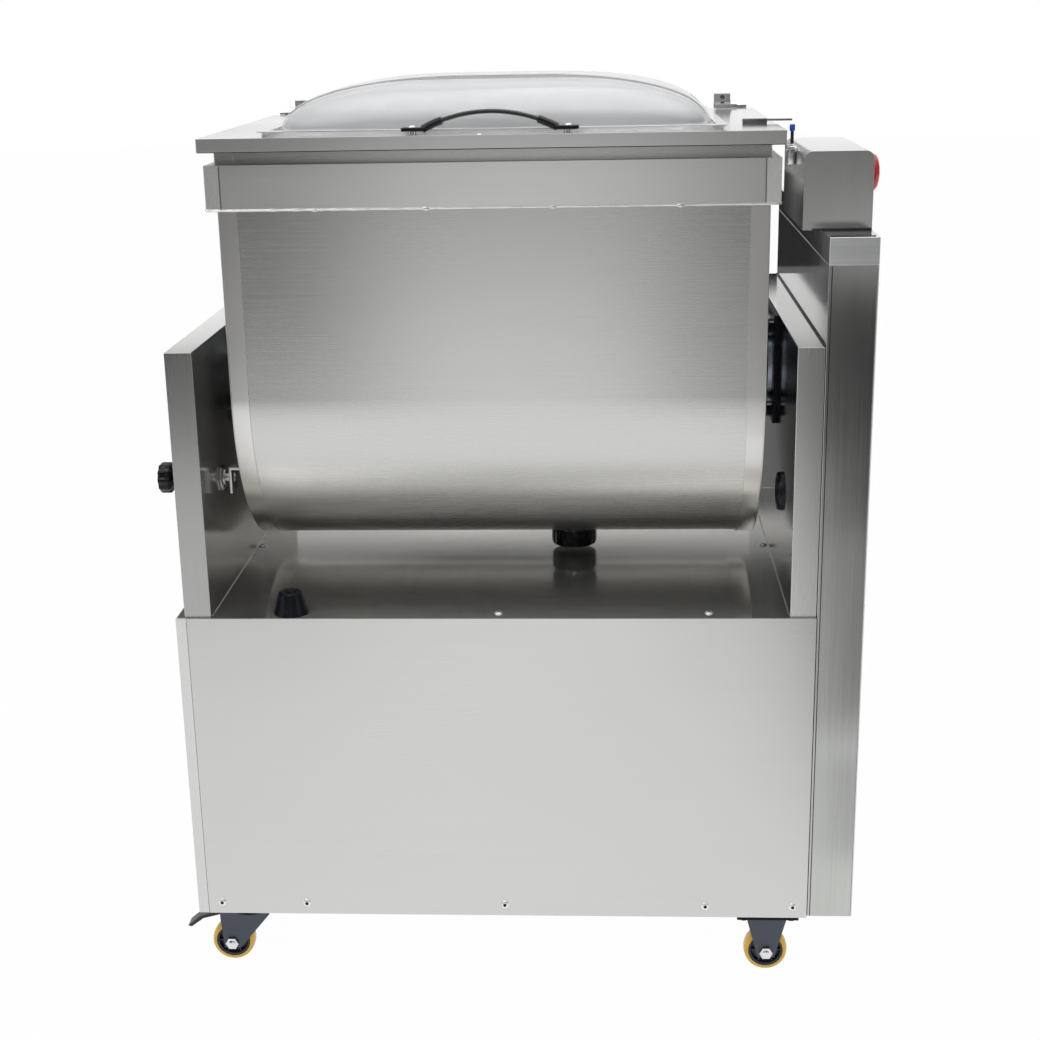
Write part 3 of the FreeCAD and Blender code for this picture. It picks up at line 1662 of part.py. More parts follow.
def make_caster_mounts():
    """The swivel plates with their races and kingpins, and the fixed casters' forks."""
    solids = []
    for label, x, y, swivels in caster_corners():
        plate = caster_plate(x, y)
        if swivels:
            race_span = ("caster_height - plate_gauge - race_height", "caster_height - plate_gauge")
            race = rod("z", race_span, "race_radius", x=x, y=y)
            pin = rod("z", ("crown_bottom - kingpin_tail", "caster_height"), "kingpin_radius", x=x, y=y)
            head_top = "crown_bottom - running_gap"
            head_span = (f"{head_top} - kingpin_head_gauge", head_top)
            head = rod("z", head_span, "kingpin_head", x=x, y=y)
            solids.append(fuse(plate, race, pin, head))
        else:
            outline = [
                ("-crown_radius", "caster_height - plate_gauge"),
                ("-crown_radius", "caster_height - plate_gauge - fork_shoulder"),
                ("-axle_nut_radius - fork_lip", "wheel_radius - axle_nut_radius"),
                ("axle_nut_radius + fork_lip", "wheel_radius - axle_nut_radius"),
                ("crown_radius", "caster_height - plate_gauge - fork_shoulder"),
                ("crown_radius", "caster_height - plate_gauge"),
            ]
            fork = fork_body(
                label + "_fork_body",
                x,
                y,
                outline,
                "caster_height - plate_gauge",
                "crown_gauge",
            )
            solids.append(fuse(plate, fork, axle(x, y)))
    keep(fuse(*solids), "caster_mounts")


def make_swivel_fork(label, x, y):
    """The raked fork that turns under the plate, with its axle."""
    wheel_x = f"{x} - caster_trail"
    outline = [
        ("-pedal_back - pedal_margin", "crown_top"),
        ("-pedal_back - pedal_margin", "pedal_z - pedal_margin"),
        ("-pedal_back - fork_lip", "wheel_radius - axle_nut_radius"),
        ("-caster_trail + axle_nut_radius + fork_lip", "wheel_radius - axle_nut_radius"),
        ("crown_radius", "crown_bottom - crown_lip"),
        ("crown_radius", "crown_top"),
    ]
    body = fork_body(label + "_fork_body", x, y, outline, "crown_top", "crown_gauge")
    crown = rod("z", ("crown_bottom", "crown_top"), "crown_radius", x=x, y=y)
    pin_hole = rod(
        "z",
        ("crown_bottom - 1", "crown_top + 1"),
        "kingpin_radius + fit_clearance",
        x=x,
        y=y,
    )
    pedal_pin = rod(
        "y",
        (f"{y} - fork_half", f"{y} + fork_half"),
        "pedal_pivot_radius",
        x=f"{x} - pedal_back",
        z="pedal_z",
    )
    keep(cut(fuse(body, crown, axle(wheel_x, y), pedal_pin), pin_hole), label + "_fork")


def make_wheel(label, x, y):
    """A wheel: the hub turns on the axle, the tyre is cast round the hub."""
    half = "wheel_width / 2"
    spot = (x, y, "wheel_radius")
    tyre = [
        ("hub_radius_wheel", f"-{half}"),
        ("wheel_radius - tread_chamfer", f"-{half}"),
        ("wheel_radius", f"-{half} + tread_chamfer"),
        ("wheel_radius", f"{half} - tread_chamfer"),
        ("wheel_radius - tread_chamfer", half),
        ("hub_radius_wheel", half),
    ]
    keep(turned(label + "_tyre_body", "y", tyre, *spot), label + "_tyre")
    bore = "axle_radius + fit_clearance"
    hub = [
        (bore, f"-{half} + hub_inset"),
        ("hub_radius_wheel", f"-{half} + hub_inset"),
        ("hub_radius_wheel", f"{half} - hub_inset"),
        (bore, f"{half} - hub_inset"),
    ]
    keep(turned(label + "_hub_body", "y", hub, *spot), label + "_hub")


def make_brake_pedal(label, x, y):
    """The foot pedal that presses on the tyre, hinged on a pin between the fork's legs."""
    spot = (f"{x} - pedal_back", f"{y} - pedal_width / 2", "pedal_z")
    body = new_body(label + "_pedal_body", "z", *spot)
    half = "pedal_thickness / 2"
    outline = new_sketch(
        body,
        "XZ_Plane",
        [
            (half, f"-{half}"),
            (half, half),
            ("-pedal_arm", half),
            ("-pedal_bend", "-pedal_thickness"),
            ("-pedal_tip", "-pedal_fall"),
            ("-pedal_tip + pedal_slope", "-pedal_fall - pedal_slope / 4"),
            ("-pedal_bend + pedal_slope", "-pedal_thickness - pedal_slope / 2"),
            ("-pedal_arm", f"-{half}"),
        ],
    )
    draw_circle(outline, 0, 0, "pedal_pivot_radius + fit_clearance")
    pad(body, outline, "pedal_width", back=True)
    keep(body, label + "_pedal")


def make_casters():
    """The casters' mounts, forks, wheels and brake pedals."""
    make_caster_mounts()
    for label, x, y, swivels in caster_corners():
        if swivels:
            make_swivel_fork(label, x, y)
            make_wheel(label, f"{x} - caster_trail", y)
            make_brake_pedal(label, x, y)
        else:
            make_wheel(label, x, y)


def export_pieces():
    """Check every object and sub-part, then write one file for each sub-part."""
    doc.recompute()
    for item in doc.Objects:
        if {"Invalid", "Error"} & set(item.State):
            raise RuntimeError(f"{item.Name} did not compute: {item.State}")
    for label, item in pieces:
        if item.Shape.isNull() or not item.Shape.isValid() or not item.Shape.Solids:
            raise RuntimeError(f"{label} is not a sound solid")
    os.makedirs("parts", exist_ok=True)
    for label, item in pieces:
        item.Shape.exportStep(f"parts/{label}.step")
    print(f"{len(pieces)} sub-parts written")


def main():
    """Fill the sheet, make every sub-part and write the files."""
    fill_sheet()
    make_base_tray()
    make_front_panel()
    make_left_side_panel()
    make_rear_panel()
    make_deck_plate()
    make_cabinet_screws()
    make_cable_gland()
    make_rubber_stops()
    make_cheeks()
    make_drive_column()
    make_control_box()
    make_button_plate()
    make_buttons()
    make_lid_sensor()
    make_bearing_housings()
    make_bushes()
    make_trunnions()
    make_trough_shell()
    make_trough_ends()
    make_trough_rim()
    make_shaft_seals()
    make_drain_cap()
    make_agitator()
    make_sprockets()
    make_drive_chain()
    make_gearbox()
    make_motor()
    make_lid_frame()
    make_hinge_brackets()
    make_dome()
    make_dome_clamp()
    make_lid_seal()
    make_handle()
    make_lid_striker()
    make_tilt_lock()
    make_casters()
    export_pieces()


main()
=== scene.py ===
"""Looks of the tilting meat mixer, in metres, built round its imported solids."""

import json
import logging
import math
from dataclasses import dataclass
from enum import Enum
from typing import Callable, Iterable, Sequence

import bmesh
import bpy
from mathutils import Matrix, Vector
from mathutils import noise as noise_of

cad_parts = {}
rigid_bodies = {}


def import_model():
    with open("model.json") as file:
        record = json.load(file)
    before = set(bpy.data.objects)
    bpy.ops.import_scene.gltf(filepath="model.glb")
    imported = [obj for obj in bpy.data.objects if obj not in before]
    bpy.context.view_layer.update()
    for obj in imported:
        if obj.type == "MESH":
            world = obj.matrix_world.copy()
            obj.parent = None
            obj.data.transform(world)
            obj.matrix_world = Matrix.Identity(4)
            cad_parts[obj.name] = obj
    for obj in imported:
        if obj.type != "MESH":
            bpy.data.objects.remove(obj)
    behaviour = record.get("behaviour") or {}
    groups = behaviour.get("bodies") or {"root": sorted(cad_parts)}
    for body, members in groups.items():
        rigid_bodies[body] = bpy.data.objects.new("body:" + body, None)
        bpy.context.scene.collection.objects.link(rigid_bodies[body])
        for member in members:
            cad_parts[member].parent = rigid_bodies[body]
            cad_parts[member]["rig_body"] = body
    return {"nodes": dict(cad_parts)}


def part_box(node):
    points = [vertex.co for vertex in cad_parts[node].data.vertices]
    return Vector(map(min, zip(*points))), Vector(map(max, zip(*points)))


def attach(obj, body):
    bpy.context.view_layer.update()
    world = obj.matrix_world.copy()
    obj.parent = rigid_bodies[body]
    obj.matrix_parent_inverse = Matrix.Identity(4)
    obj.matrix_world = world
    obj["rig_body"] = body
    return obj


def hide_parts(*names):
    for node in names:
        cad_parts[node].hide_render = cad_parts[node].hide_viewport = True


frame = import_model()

log = logging.getLogger("meat_mixer")
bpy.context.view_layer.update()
MERGE_REACH = 0.000004
FLAT_ANGLE = math.radians(0.4)
SHARP_ANGLE = math.radians(40)
FACING = 0.9
EDGE_ON = 0.1
CARDS_IN_FRONT = -2.7
CARDS_BEHIND = 0.85
CARDS_AT_REAR = 3.2
CARDS_FOR_BOX = -2.69

Colour = tuple[float, float, float]
Point = Sequence[float]


class Axis(Enum):
    """An axis of the machine: the way that a grain or a turned piece runs."""

    X = (1.0, 0.0, 0.0)
    Y = (0.0, 1.0, 0.0)
    Z = (0.0, 0.0, 1.0)


class Graph:
    """A material's nodes, with a short call for each step that the finishes use."""

    def __init__(self, name: str) -> None:
        """Start a material with a Principled shader.

        Args:
            name: the material's name.
        """
        self.material = bpy.data.materials.new(name)
        self.material.use_nodes = True
        self.tree = self.material.node_tree
        self.shader = self.tree.nodes["Principled BSDF"]

    def node(self, kind: str, **settings: object) -> bpy.types.Node:
        """Add a node.

        Args:
            kind: the node's type, without its ShaderNode prefix.
            settings: properties to set on it.

        Returns:
            The new node.
        """
        made = self.tree.nodes.new("ShaderNode" + kind)
        for name, value in settings.items():
            setattr(made, name, value)
        return made

    def feed(self, node: bpy.types.Node, **sources: object) -> bpy.types.Node:
        """Link sockets to, or set values on, a node's inputs.

        Args:
            node: the node to feed.
            sources: input names with underscores for spaces, each with a socket or a value.

        Returns:
            The same node.
        """
        for name, source in sources.items():
            target = node.inputs[name.replace("_", " ")]
            if isinstance(source, bpy.types.NodeSocket):
                self.tree.links.new(source, target)
            else:
                target.default_value = source
        return node

    def place(self, stretch: Point) -> bpy.types.NodeSocket:
        """Object coordinates multiplied by a stretch."""
        source = self.node("TexCoord").outputs["Object"]
        return self.feed(self.node("Mapping"), Vector=source, Scale=stretch).outputs["Vector"]

    def noise(
        self, stretch: Point, detail: float = 2.0, rough: float = 0.5
    ) -> bpy.types.NodeSocket:
        """Noise with so many features to the metre along each axis.

        Args:
            stretch: features to the metre along X, Y and Z.
            detail: octaves of finer noise.
            rough: how strong the finer noise is.

        Returns:
            The noise's value.
        """
        made = self.feed(self.node("TexNoise"), Vector=self.place(stretch), Scale=1.0)
        self.feed(made, Detail=detail, Roughness=rough)
        return made.outputs["Fac"]

    def span(self, source: bpy.types.NodeSocket, low: float, high: float) -> bpy.types.NodeSocket:
        """Noise spread over a range of values.

        Args:
            source: the noise.
            low: what its low end becomes.
            high: what its high end becomes.

        Returns:
            The spread value.
        """
        made = self.feed(self.node("MapRange"), Value=source)
        ends = {"From Min": 0.3, "From Max": 0.7, "To Min": low, "To Max": high}
        for name, value in ends.items():
            made.inputs[name].default_value = value
        return made.outputs["Result"]

    def total(self, *sources: bpy.types.NodeSocket) -> bpy.types.NodeSocket:
        """The sum of several values.

        Args:
            sources: the values.

        Returns:
            Their sum.
        """
        running = sources[0]
        for source in sources[1:]:
            adder = self.node("Math", operation="ADD")
            self.tree.links.new(running, adder.inputs[0])
            self.tree.links.new(source, adder.inputs[1])
            running = adder.outputs["Value"]
        return running

    def tint(self, factor: bpy.types.NodeSocket, low: Colour, high: Colour) -> bpy.types.NodeSocket:
        """A colour between two, by a factor.

        Args:
            factor: nothing for the first colour, one for the second.
            low: the first colour.
            high: the second colour.

        Returns:
            The mixed colour.
        """
        made = self.node("Mix", data_type="RGBA")
        self.tree.links.new(factor, made.inputs["Factor"])
        made.inputs[6].default_value = (*low, 1.0)
        made.inputs[7].default_value = (*high, 1.0)
        return made.outputs[2]

    def bump(self, height: bpy.types.NodeSocket, depth: float, strength: float = 1.0) -> None:
        """Raise the surface by a height of so many metres."""
        made = self.feed(self.node("Bump"), Height=height, Strength=strength, Distance=depth)
        self.feed(self.shader, Normal=made.outputs["Normal"])


def scaled(colour: Colour, factor: float) -> Colour:
    """A colour made lighter or darker."""
    return tuple(min(1.0, part * factor) for part in colour)


class Finish:
    """What every finish shares: its material is made once and then reused."""

    name: str
    slot: str
    made: dict[str, bpy.types.Material] = {}

    def build(self, graph: Graph) -> None:
        """Set up the material's nodes."""
        raise NotImplementedError

    @property
    def material(self) -> bpy.types.Material:
        """The finish's material.

        Returns:
            The material, made at the first call.
        """
        if self.name not in Finish.made:
            graph = Graph(self.name)
            self.build(graph)
            Finish.made[self.name] = graph.material
        return Finish.made[self.name]


@dataclass(frozen=True)
class BrushedSteel(Finish):
    """Stainless sheet with a drawn grain along one axis."""

    name: str
    grain: Axis
    colour: Colour = (0.66, 0.66, 0.65)
    roughness: float = 0.30
    pull: float = 0.6
    contrast: float = 0.05
    line_depth: float = 0.0000015
    metal: float = 1.0
    slot: str = "brushed_sheet"

    def stretch(self, along: float, across: float) -> tuple[float, ...]:
        """Features to the metre along the grain's own axis and across it."""
        return tuple(along if part else across for part in self.grain.value)

    def build(self, graph: Graph) -> None:
        """Fine lines, broader streaks and a faint cloud, all drawn along the grain.

        Args:
            graph: the material's nodes.
        """
        lines = graph.noise(self.stretch(6, 1500), 3.0, 0.7)
        streaks = graph.noise(self.stretch(2.5, 160), 2.0)
        cloud = graph.noise(self.stretch(2.2, 3.4), 3.0)
        marks = graph.total(
            graph.span(lines, -0.30, 0.30),
            graph.span(streaks, 0.0, 0.25),
            graph.span(cloud, 0.10, 0.65),
        )
        low, high = 1 - self.contrast, 1 + self.contrast
        colour = graph.tint(marks, scaled(self.colour, low), scaled(self.colour, high))
        roughness = graph.total(
            graph.span(lines, self.roughness - 0.025, self.roughness + 0.015),
            graph.span(cloud, -0.02, 0.04),
        )
        graph.feed(graph.shader, Base_Color=colour, Roughness=roughness, Metallic=self.metal)
        graph.feed(graph.shader, Anisotropic=self.pull, Tangent=self.across(graph))
        graph.bump(lines, self.line_depth)

    def across(self, graph: Graph) -> bpy.types.NodeSocket:
        """The direction in the surface that lies across the grain.

        Args:
            graph: the material's nodes.

        Returns:
            The tangent's direction.
        """
        along = graph.feed(graph.node("CombineXYZ"), **dict(zip("XYZ", self.grain.value)))
        turn = graph.node(
            "VectorTransform", vector_type="VECTOR", convert_from="OBJECT", convert_to="WORLD"
        )
        graph.feed(turn, Vector=along.outputs["Vector"])
        product = graph.node("VectorMath", operation="CROSS_PRODUCT")
        graph.tree.links.new(turn.outputs["Vector"], product.inputs[0])
        graph.tree.links.new(graph.node("NewGeometry").outputs["Normal"], product.inputs[1])
        return product.outputs["Vector"]


@dataclass(frozen=True)
class TurnedMetal(Finish):
    """Bright or oiled metal with no drawn grain."""

    name: str
    colour: Colour
    roughness: float
    slot: str
    wear: float = 0.08
    pitting: float = 0.000006

    def build(self, graph: Graph) -> None:
        """Faint handling marks in the gloss, and a shallow unevenness.

        Args:
            graph: the material's nodes.
        """
        patches = graph.noise((60, 60, 60), 4.0)
        fine = graph.noise((900, 900, 900), 2.0)
        colour = graph.tint(
            graph.span(patches, 0.0, 1.0), scaled(self.colour, 0.92), scaled(self.colour, 1.05)
        )
        roughness = graph.total(
            graph.span(patches, self.roughness, self.roughness + self.wear),
            graph.span(fine, -0.02, 0.02),
        )
        graph.feed(graph.shader, Base_Color=colour, Roughness=roughness, Metallic=1.0)
        graph.bump(fine, self.pitting)


@dataclass(frozen=True)
class Moulded(Finish):
    """Plastic, rubber or paint: a colour with a moulded skin."""

    name: str
    colour: Colour
    roughness: float
    slot: str
    grains: float = 700.0
    depth: float = 0.00002
    shift: float = 0.12
    coat: float = 0.0
    mirror: float = 0.5

    def build(self, graph: Graph) -> None:
        """A fine skin, soft blotches and a little dust in the colour.

        Args:
            graph: the material's nodes.
        """
        skin = graph.noise((self.grains,) * 3, 3.0)
        blotch = graph.noise((35, 35, 35), 4.0)
        colour = graph.tint(
            graph.span(blotch, 0.0, 1.0),
            scaled(self.colour, 1 - self.shift),
            scaled(self.colour, 1 + self.shift),
        )
        roughness = graph.total(
            graph.span(blotch, self.roughness - 0.04, self.roughness + 0.06),
            graph.span(skin, -0.03, 0.03),
        )
        graph.feed(graph.shader, Base_Color=colour, Roughness=roughness)
        graph.feed(graph.shader, Coat_Weight=self.coat, Coat_Roughness=0.08)
        graph.feed(graph.shader, Specular_IOR_Level=self.mirror)
        graph.bump(skin, self.depth)


@dataclass(frozen=True)
class ClearPlastic(Finish):
    """Clear blown acrylic with faint handling marks."""

    name: str
    slot: str = "clear_acrylic"
    refraction: float = 1.49
    body: float = 0.66
    clarity: float = 0.55

    def build(self, graph: Graph) -> None:
        """A clear body whose gloss is a little smeared.

        Args:
            graph: the material's nodes.
        """
        smears = graph.noise((9, 9, 14), 5.0, 0.6)
        colour = graph.tint(smears, (0.955, 0.972, 0.98), (0.985, 0.992, 0.995))
        roughness = graph.span(smears, 0.0, 0.035)
        graph.feed(graph.shader, Base_Color=colour, Roughness=roughness)
        graph.feed(graph.shader, Transmission_Weight=self.clarity)
        graph.feed(graph.shader, IOR=self.refraction, Alpha=self.body)
        graph.bump(graph.noise((14, 14, 14), 2.0), 0.00015)


SHEET_ACROSS = BrushedSteel("sheet_grain_across", Axis.X, contrast=0.018, line_depth=0.0000007)
SHEET_UPRIGHT = BrushedSteel("sheet_grain_upright", Axis.Z, roughness=0.27)
TROUGH_SHEET = BrushedSteel(
    "trough_sheet",
    Axis.X,
    colour=(0.63, 0.63, 0.62),
    roughness=0.265,
    contrast=0.014,
    line_depth=0.0000005,
)
RIM_SHEET = BrushedSteel(
    "rim_sheet", Axis.X, colour=(0.80, 0.80, 0.78), contrast=0.02, line_depth=0.0000006
)
# The cheeks are one sheet in two tones: the left cheek's darker colour is painted shade.
CHEEK_SHEETS = {
    "left_cheek": BrushedSteel(
        "left_cheek_sheet_painted_shade", Axis.Z, colour=(0.41, 0.41, 0.40), roughness=0.26, contrast=0.03
    ),
    "right_cheek": BrushedSteel(
        "right_cheek_sheet", Axis.Z, colour=(0.64, 0.64, 0.63), roughness=0.26, contrast=0.03
    ),
}
COLUMN_SHEET = BrushedSteel(
    "column_sheet", Axis.Z, colour=(0.50, 0.51, 0.49), roughness=0.2, contrast=0.09
)
DECK_SHEET = BrushedSteel(
    "deck_sheet",
    Axis.X,
    colour=(0.72, 0.705, 0.67),
    roughness=0.11,
    pull=0.3,
    contrast=0.03,
    metal=0.88,
)
BAND_SHEET = BrushedSteel(
    "band_sheet", Axis.Z, colour=(0.74, 0.73, 0.71), roughness=0.3, contrast=0.02
)
BOX_SHEET = BrushedSteel("box_sheet", Axis.Z, roughness=0.22, contrast=0.06)
# Lighter copy of the sheet for faces that look up: painted light on the tops of the lid, the cap,
# the control box and the dome's clamp.
TOP_PAINTED_LIGHT_SHEET = BrushedSteel(
    "top_sheet_painted_light", Axis.X, colour=(0.90, 0.90, 0.89), roughness=0.12, contrast=0.02
)
POLISHED_SHEET = BrushedSteel("polished_sheet", Axis.Y, roughness=0.10, pull=0.3, contrast=0.03)
# A polished sheet in a darker colour: painted shade on the faces that look left and on the right
# cheek's inner face.
MIRROR_SHADE_SHEET = BrushedSteel(
    "mirror_sheet_painted_shade", Axis.Z, colour=(0.46, 0.47, 0.46), roughness=0.11, pull=0.3, contrast=0.06
)
SHADED_SHEET = BrushedSteel(
    "shaded_sheet",
    Axis.Z,
    colour=(0.38, 0.37, 0.345),
    roughness=0.19,
    pull=0.3,
    contrast=0.04,
    metal=0.8,
)
# A lighter sheet for the rim's end strips: painted highlight on the strips.
RIM_END_HIGHLIGHT_SHEET = BrushedSteel(
    "rim_end_sheet_painted_highlight", Axis.Z, colour=(0.95, 0.94, 0.91), roughness=0.26, contrast=0.02, metal=0.85
)
# A lighter copy of the stainless for the column's cap: painted light, with a strong drawn grain.
CAP_LIGHT_SHEET = BrushedSteel(
    "cap_sheet_painted_light", Axis.X, colour=(0.93, 0.94, 0.95), roughness=0.3, contrast=0.16, metal=0.9
)
# A paler, rougher steel than the bright steel: its paleness is a painted highlight on the domed
# screw heads.
SCREW_HIGHLIGHT_STEEL = TurnedMetal("screw_steel_painted_highlight", (0.92, 0.92, 0.92), 0.38, "bright_steel", wear=0.1)
SLEEVE_STEEL = TurnedMetal("sleeve_steel", (0.27, 0.30, 0.35), 0.24, "cast_housing", wear=0.06)
BRIGHT_STEEL = TurnedMetal("bright_steel", (0.74, 0.74, 0.74), 0.14, "bright_steel")
WELD_STEEL = TurnedMetal("weld_steel", (0.78, 0.77, 0.74), 0.28, "bright_steel", pitting=0.00008)
BRONZE = TurnedMetal("bronze", (0.62, 0.40, 0.18), 0.26, "bronze")
OILED_STEEL = TurnedMetal("oiled_steel", (0.22, 0.22, 0.23), 0.3, "chain_steel")
DARK_ZINC = TurnedMetal("dark_zinc", (0.085, 0.095, 0.115), 0.32, "dark_zinc", wear=0.2)
BLACK_ZINC = TurnedMetal("black_zinc", (0.02, 0.02, 0.024), 0.45, "dark_zinc")
CAST_PAINT = Moulded(
    "cast_paint", (0.07, 0.09, 0.11), 0.42, "cast_housing", grains=260, depth=0.0002
)
RUBBER = Moulded("black_rubber", (0.012, 0.012, 0.013), 0.42, "black_rubber", depth=0.00004)
BLACK_GLOSS = Moulded(
    "black_gloss", (0.003, 0.003, 0.004), 0.24, "black_plastic", depth=0.000008, mirror=0.3
)
BUMPER_RUBBER = Moulded(
    "bumper_rubber", (0.006, 0.008, 0.012), 0.3, "black_rubber", depth=0.00001, mirror=0.22
)
BLACK_PLASTIC = Moulded(
    "black_plastic", (0.012, 0.012, 0.013), 0.34, "black_plastic", depth=0.00003
)
RED_PLASTIC = Moulded("red_plastic", (0.55, 0.012, 0.01), 0.25, "red_plastic", coat=0.4)
GREEN_PLASTIC = Moulded("green_plastic", (0.02, 0.3, 0.06), 0.3, "green_plastic", coat=0.3)
BLUE_PLASTIC = Moulded("blue_plastic", (0.01, 0.08, 0.5), 0.3, "black_plastic", coat=0.3)
TREAD = Moulded(
    "yellow_tread", (1.0, 0.60, 0.08), 0.34, "yellow_polyurethane", coat=0.2, shift=0.06
)
NYLON = Moulded("dark_nylon", (0.016, 0.022, 0.042), 0.4, "dark_nylon")
ACRYLIC = ClearPlastic("clear_acrylic")


class Shape:
    """A mesh under way, and the steps by which the pieces are made."""

    def __init__(self) -> None:
        """Start empty."""
        self.mesh = bmesh.new()

    def take_in(self, other: "Shape") -> "Shape":
        """Join another shape to this one.

        Args:
            other: the shape, which is used up.

        Returns:
            The shape itself.
        """
        spare = bpy.data.meshes.new("spare")
        other.mesh.to_mesh(spare)
        other.mesh.free()
        self.mesh.from_mesh(spare)
        bpy.data.meshes.remove(spare)
        return self

    def block(self, low: Point, high: Point, bevel: float = 0.0, segments: int = 2) -> "Shape":
        """Add a box between two corners, with its edges rounded.

        Args:
            low: its low corner.
            high: its high corner.
            bevel: how far back each edge is rounded.
            segments: steps in each rounded edge.

        Returns:
            The shape itself.
        """
        low, high = Vector(low), Vector(high)
        part = Shape()
        grow = Matrix.LocRotScale((low + high) / 2, None, high - low)
        bmesh.ops.create_cube(part.mesh, size=1.0, matrix=grow)
        if bevel:
            part.round_edges(part.mesh.edges[:], bevel, segments)
        return self.take_in(part)

    def mark(self, index: int) -> "Shape":
        """Give every face one of the piece's finishes, by number.

        Args:
            index: the finish's number.

        Returns:
            The shape itself.
        """
        for face in self.mesh.faces:
            face.material_index = index
        return self

    def round_edges(self, edges: Iterable, width: float, segments: int = 2) -> "Shape":
        """Round some edges.

        Args:
            edges: the edges.
            width: how far back they are rounded.
            segments: steps in each.

        Returns:
            The shape itself.
        """
        bmesh.ops.bevel(
            self.mesh,
            geom=list(edges),
            offset=width,
            segments=segments,
            profile=0.5,
            affect="EDGES",
            clamp_overlap=True,
            material=-1,
        )
        return self

    def lathe(
        self,
        profile: Sequence[Point],
        at: Point,
        axis: Point,
        steps: int = 48,
        flutes: tuple[int, float, float] | None = None,
        index: int = 0,
    ) -> "Shape":
        """Add a turned form.

        Args:
            profile: pairs of radius and height, from one end to the other.
            at: where height zero lies.
            axis: the way that height grows.
            steps: facets round the axis.
            flutes: how many flutes, how deep, and beyond which radius.
            index: which of the piece's finishes it has.

        Returns:
            The shape itself.
        """
        part = Shape()
        line = [part.mesh.verts.new((radius, 0.0, height)) for radius, height in profile]
        edges = [part.mesh.edges.new(pair) for pair in zip(line, line[1:])]
        bmesh.ops.spin(
            part.mesh,
            geom=line + edges,
            cent=(0, 0, 0),
            axis=(0, 0, 1),
            angle=math.tau,
            steps=steps,
            use_merge=True,
        )
        bmesh.ops.remove_doubles(part.mesh, verts=part.mesh.verts[:], dist=0.000002)
        bmesh.ops.recalc_face_normals(part.mesh, faces=part.mesh.faces[:])
        if flutes:
            part.flute(*flutes)
        part.mark(index)
        part.turn(Vector(axis).to_track_quat("Z", "Y").to_matrix().to_4x4())
        part.shift(at)
        return self.take_in(part)

    def rod(
        self, start: Point, end: Point, radius: float, chamfer: float = 0.0, steps: int = 32
    ) -> "Shape":
        """Add a round bar between two points.

        Args:
            start: the middle of its first end.
            end: the middle of its last end.
            radius: its radius.
            chamfer: how far back its ends are cut.
            steps: facets round it.

        Returns:
            The shape itself.
        """
        way = Vector(end) - Vector(start)
        profile = bar_profile(radius, way.length, chamfer)
        return self.lathe(profile, start, way, steps)

    def flute(self, count: int, depth: float, beyond: float) -> None:
        """Hollow a turned form's outside into flutes.

        Args:
            count: how many flutes.
            depth: how deep.
            beyond: the radius that they start from.
        """
        for vertex in self.mesh.verts:
            radius = math.hypot(vertex.co.x, vertex.co.y)
            if radius > beyond:
                wave = 0.5 - 0.5 * math.cos(count * math.atan2(vertex.co.y, vertex.co.x))
                vertex.co.x *= 1 - depth * wave / radius
                vertex.co.y *= 1 - depth * wave / radius

    def hexagon(self, at: Point, axis: Point, flats: float, height: float) -> "Shape":
        """Add a chamfered hexagon: a nut or a bolt's head."""
        corner = flats / math.sqrt(3)
        return self.lathe(bar_profile(corner, height, corner * 0.12), at, axis, 6)

    def screw(self, at: Point, axis: Point, radius: float, rise: float) -> "Shape":
        """Add a domed screw's head with a socket, its foot at a point; a hex plug in the piece's
        second finish fills the socket.

        Args:
            at: the middle of the head's underside.
            axis: the way that the head looks.
            radius: the head's radius.
            rise: the head's height.

        Returns:
            The shape itself.
        """
        socket, floor = radius * 0.42, rise * 0.35
        crown = [(radius * math.cos(a), rise * math.sin(a)) for a in (0, 0.3, 0.6, 0.9, 1.15)]
        profile = [(0, floor), (socket, floor), (socket, rise), *reversed(crown), (0, 0)]
        self.lathe(profile, at, axis, 24)
        # The plug fills the socket in the piece's second finish; where that is dark, it is painted
        # shade in the socket.
        plug = Vector(at) + Vector(axis).normalized() * floor
        return self.lathe(bar_profile(socket * 0.97, rise * 0.5, 0.0), plug, axis, 6, index=1)

    def bow(
        self, centre: Point, radius: float, section: Point, start: float, end: float
    ) -> "Shape":
        """Add a curved strap that stands in the XZ plane.

        Args:
            centre: the middle of its curve.
            radius: the curve's radius.
            section: the strap's thickness and its width along Y.
            start: the angle of its first end from upright, in degrees.
            end: the angle of its last end.

        Returns:
            The shape itself.
        """
        part = Shape()
        stand = (
            Matrix.Translation(Vector(centre))
            @ Matrix.Rotation(math.radians(start), 4, "Y")
            @ Matrix.Translation((0, 0, radius))
            @ Matrix.Rotation(math.radians(90), 4, "Y")
            @ Matrix.Diagonal((section[0] / 2, section[1] / 2, 1, 1))
        )
        bmesh.ops.create_circle(part.mesh, segments=20, radius=1.0, matrix=stand)
        sweep = math.radians(end - start)
        bmesh.ops.spin(
            part.mesh,
            geom=part.mesh.verts[:] + part.mesh.edges[:],
            cent=Vector(centre),
            axis=(0, 1, 0),
            angle=sweep,
            steps=max(4, int(end - start)),
        )
        open_edges = [edge for edge in part.mesh.edges if edge.is_boundary]
        bmesh.ops.holes_fill(part.mesh, edges=open_edges)
        bmesh.ops.recalc_face_normals(part.mesh, faces=part.mesh.faces[:])
        return self.take_in(part)

    def shift(self, by: Point) -> "Shape":
        """Move everything."""
        bmesh.ops.translate(self.mesh, vec=Vector(by), verts=self.mesh.verts[:])
        return self

    def turn(self, matrix: Matrix) -> "Shape":
        """Transform everything."""
        bmesh.ops.transform(self.mesh, matrix=matrix, verts=self.mesh.verts[:])
        return self

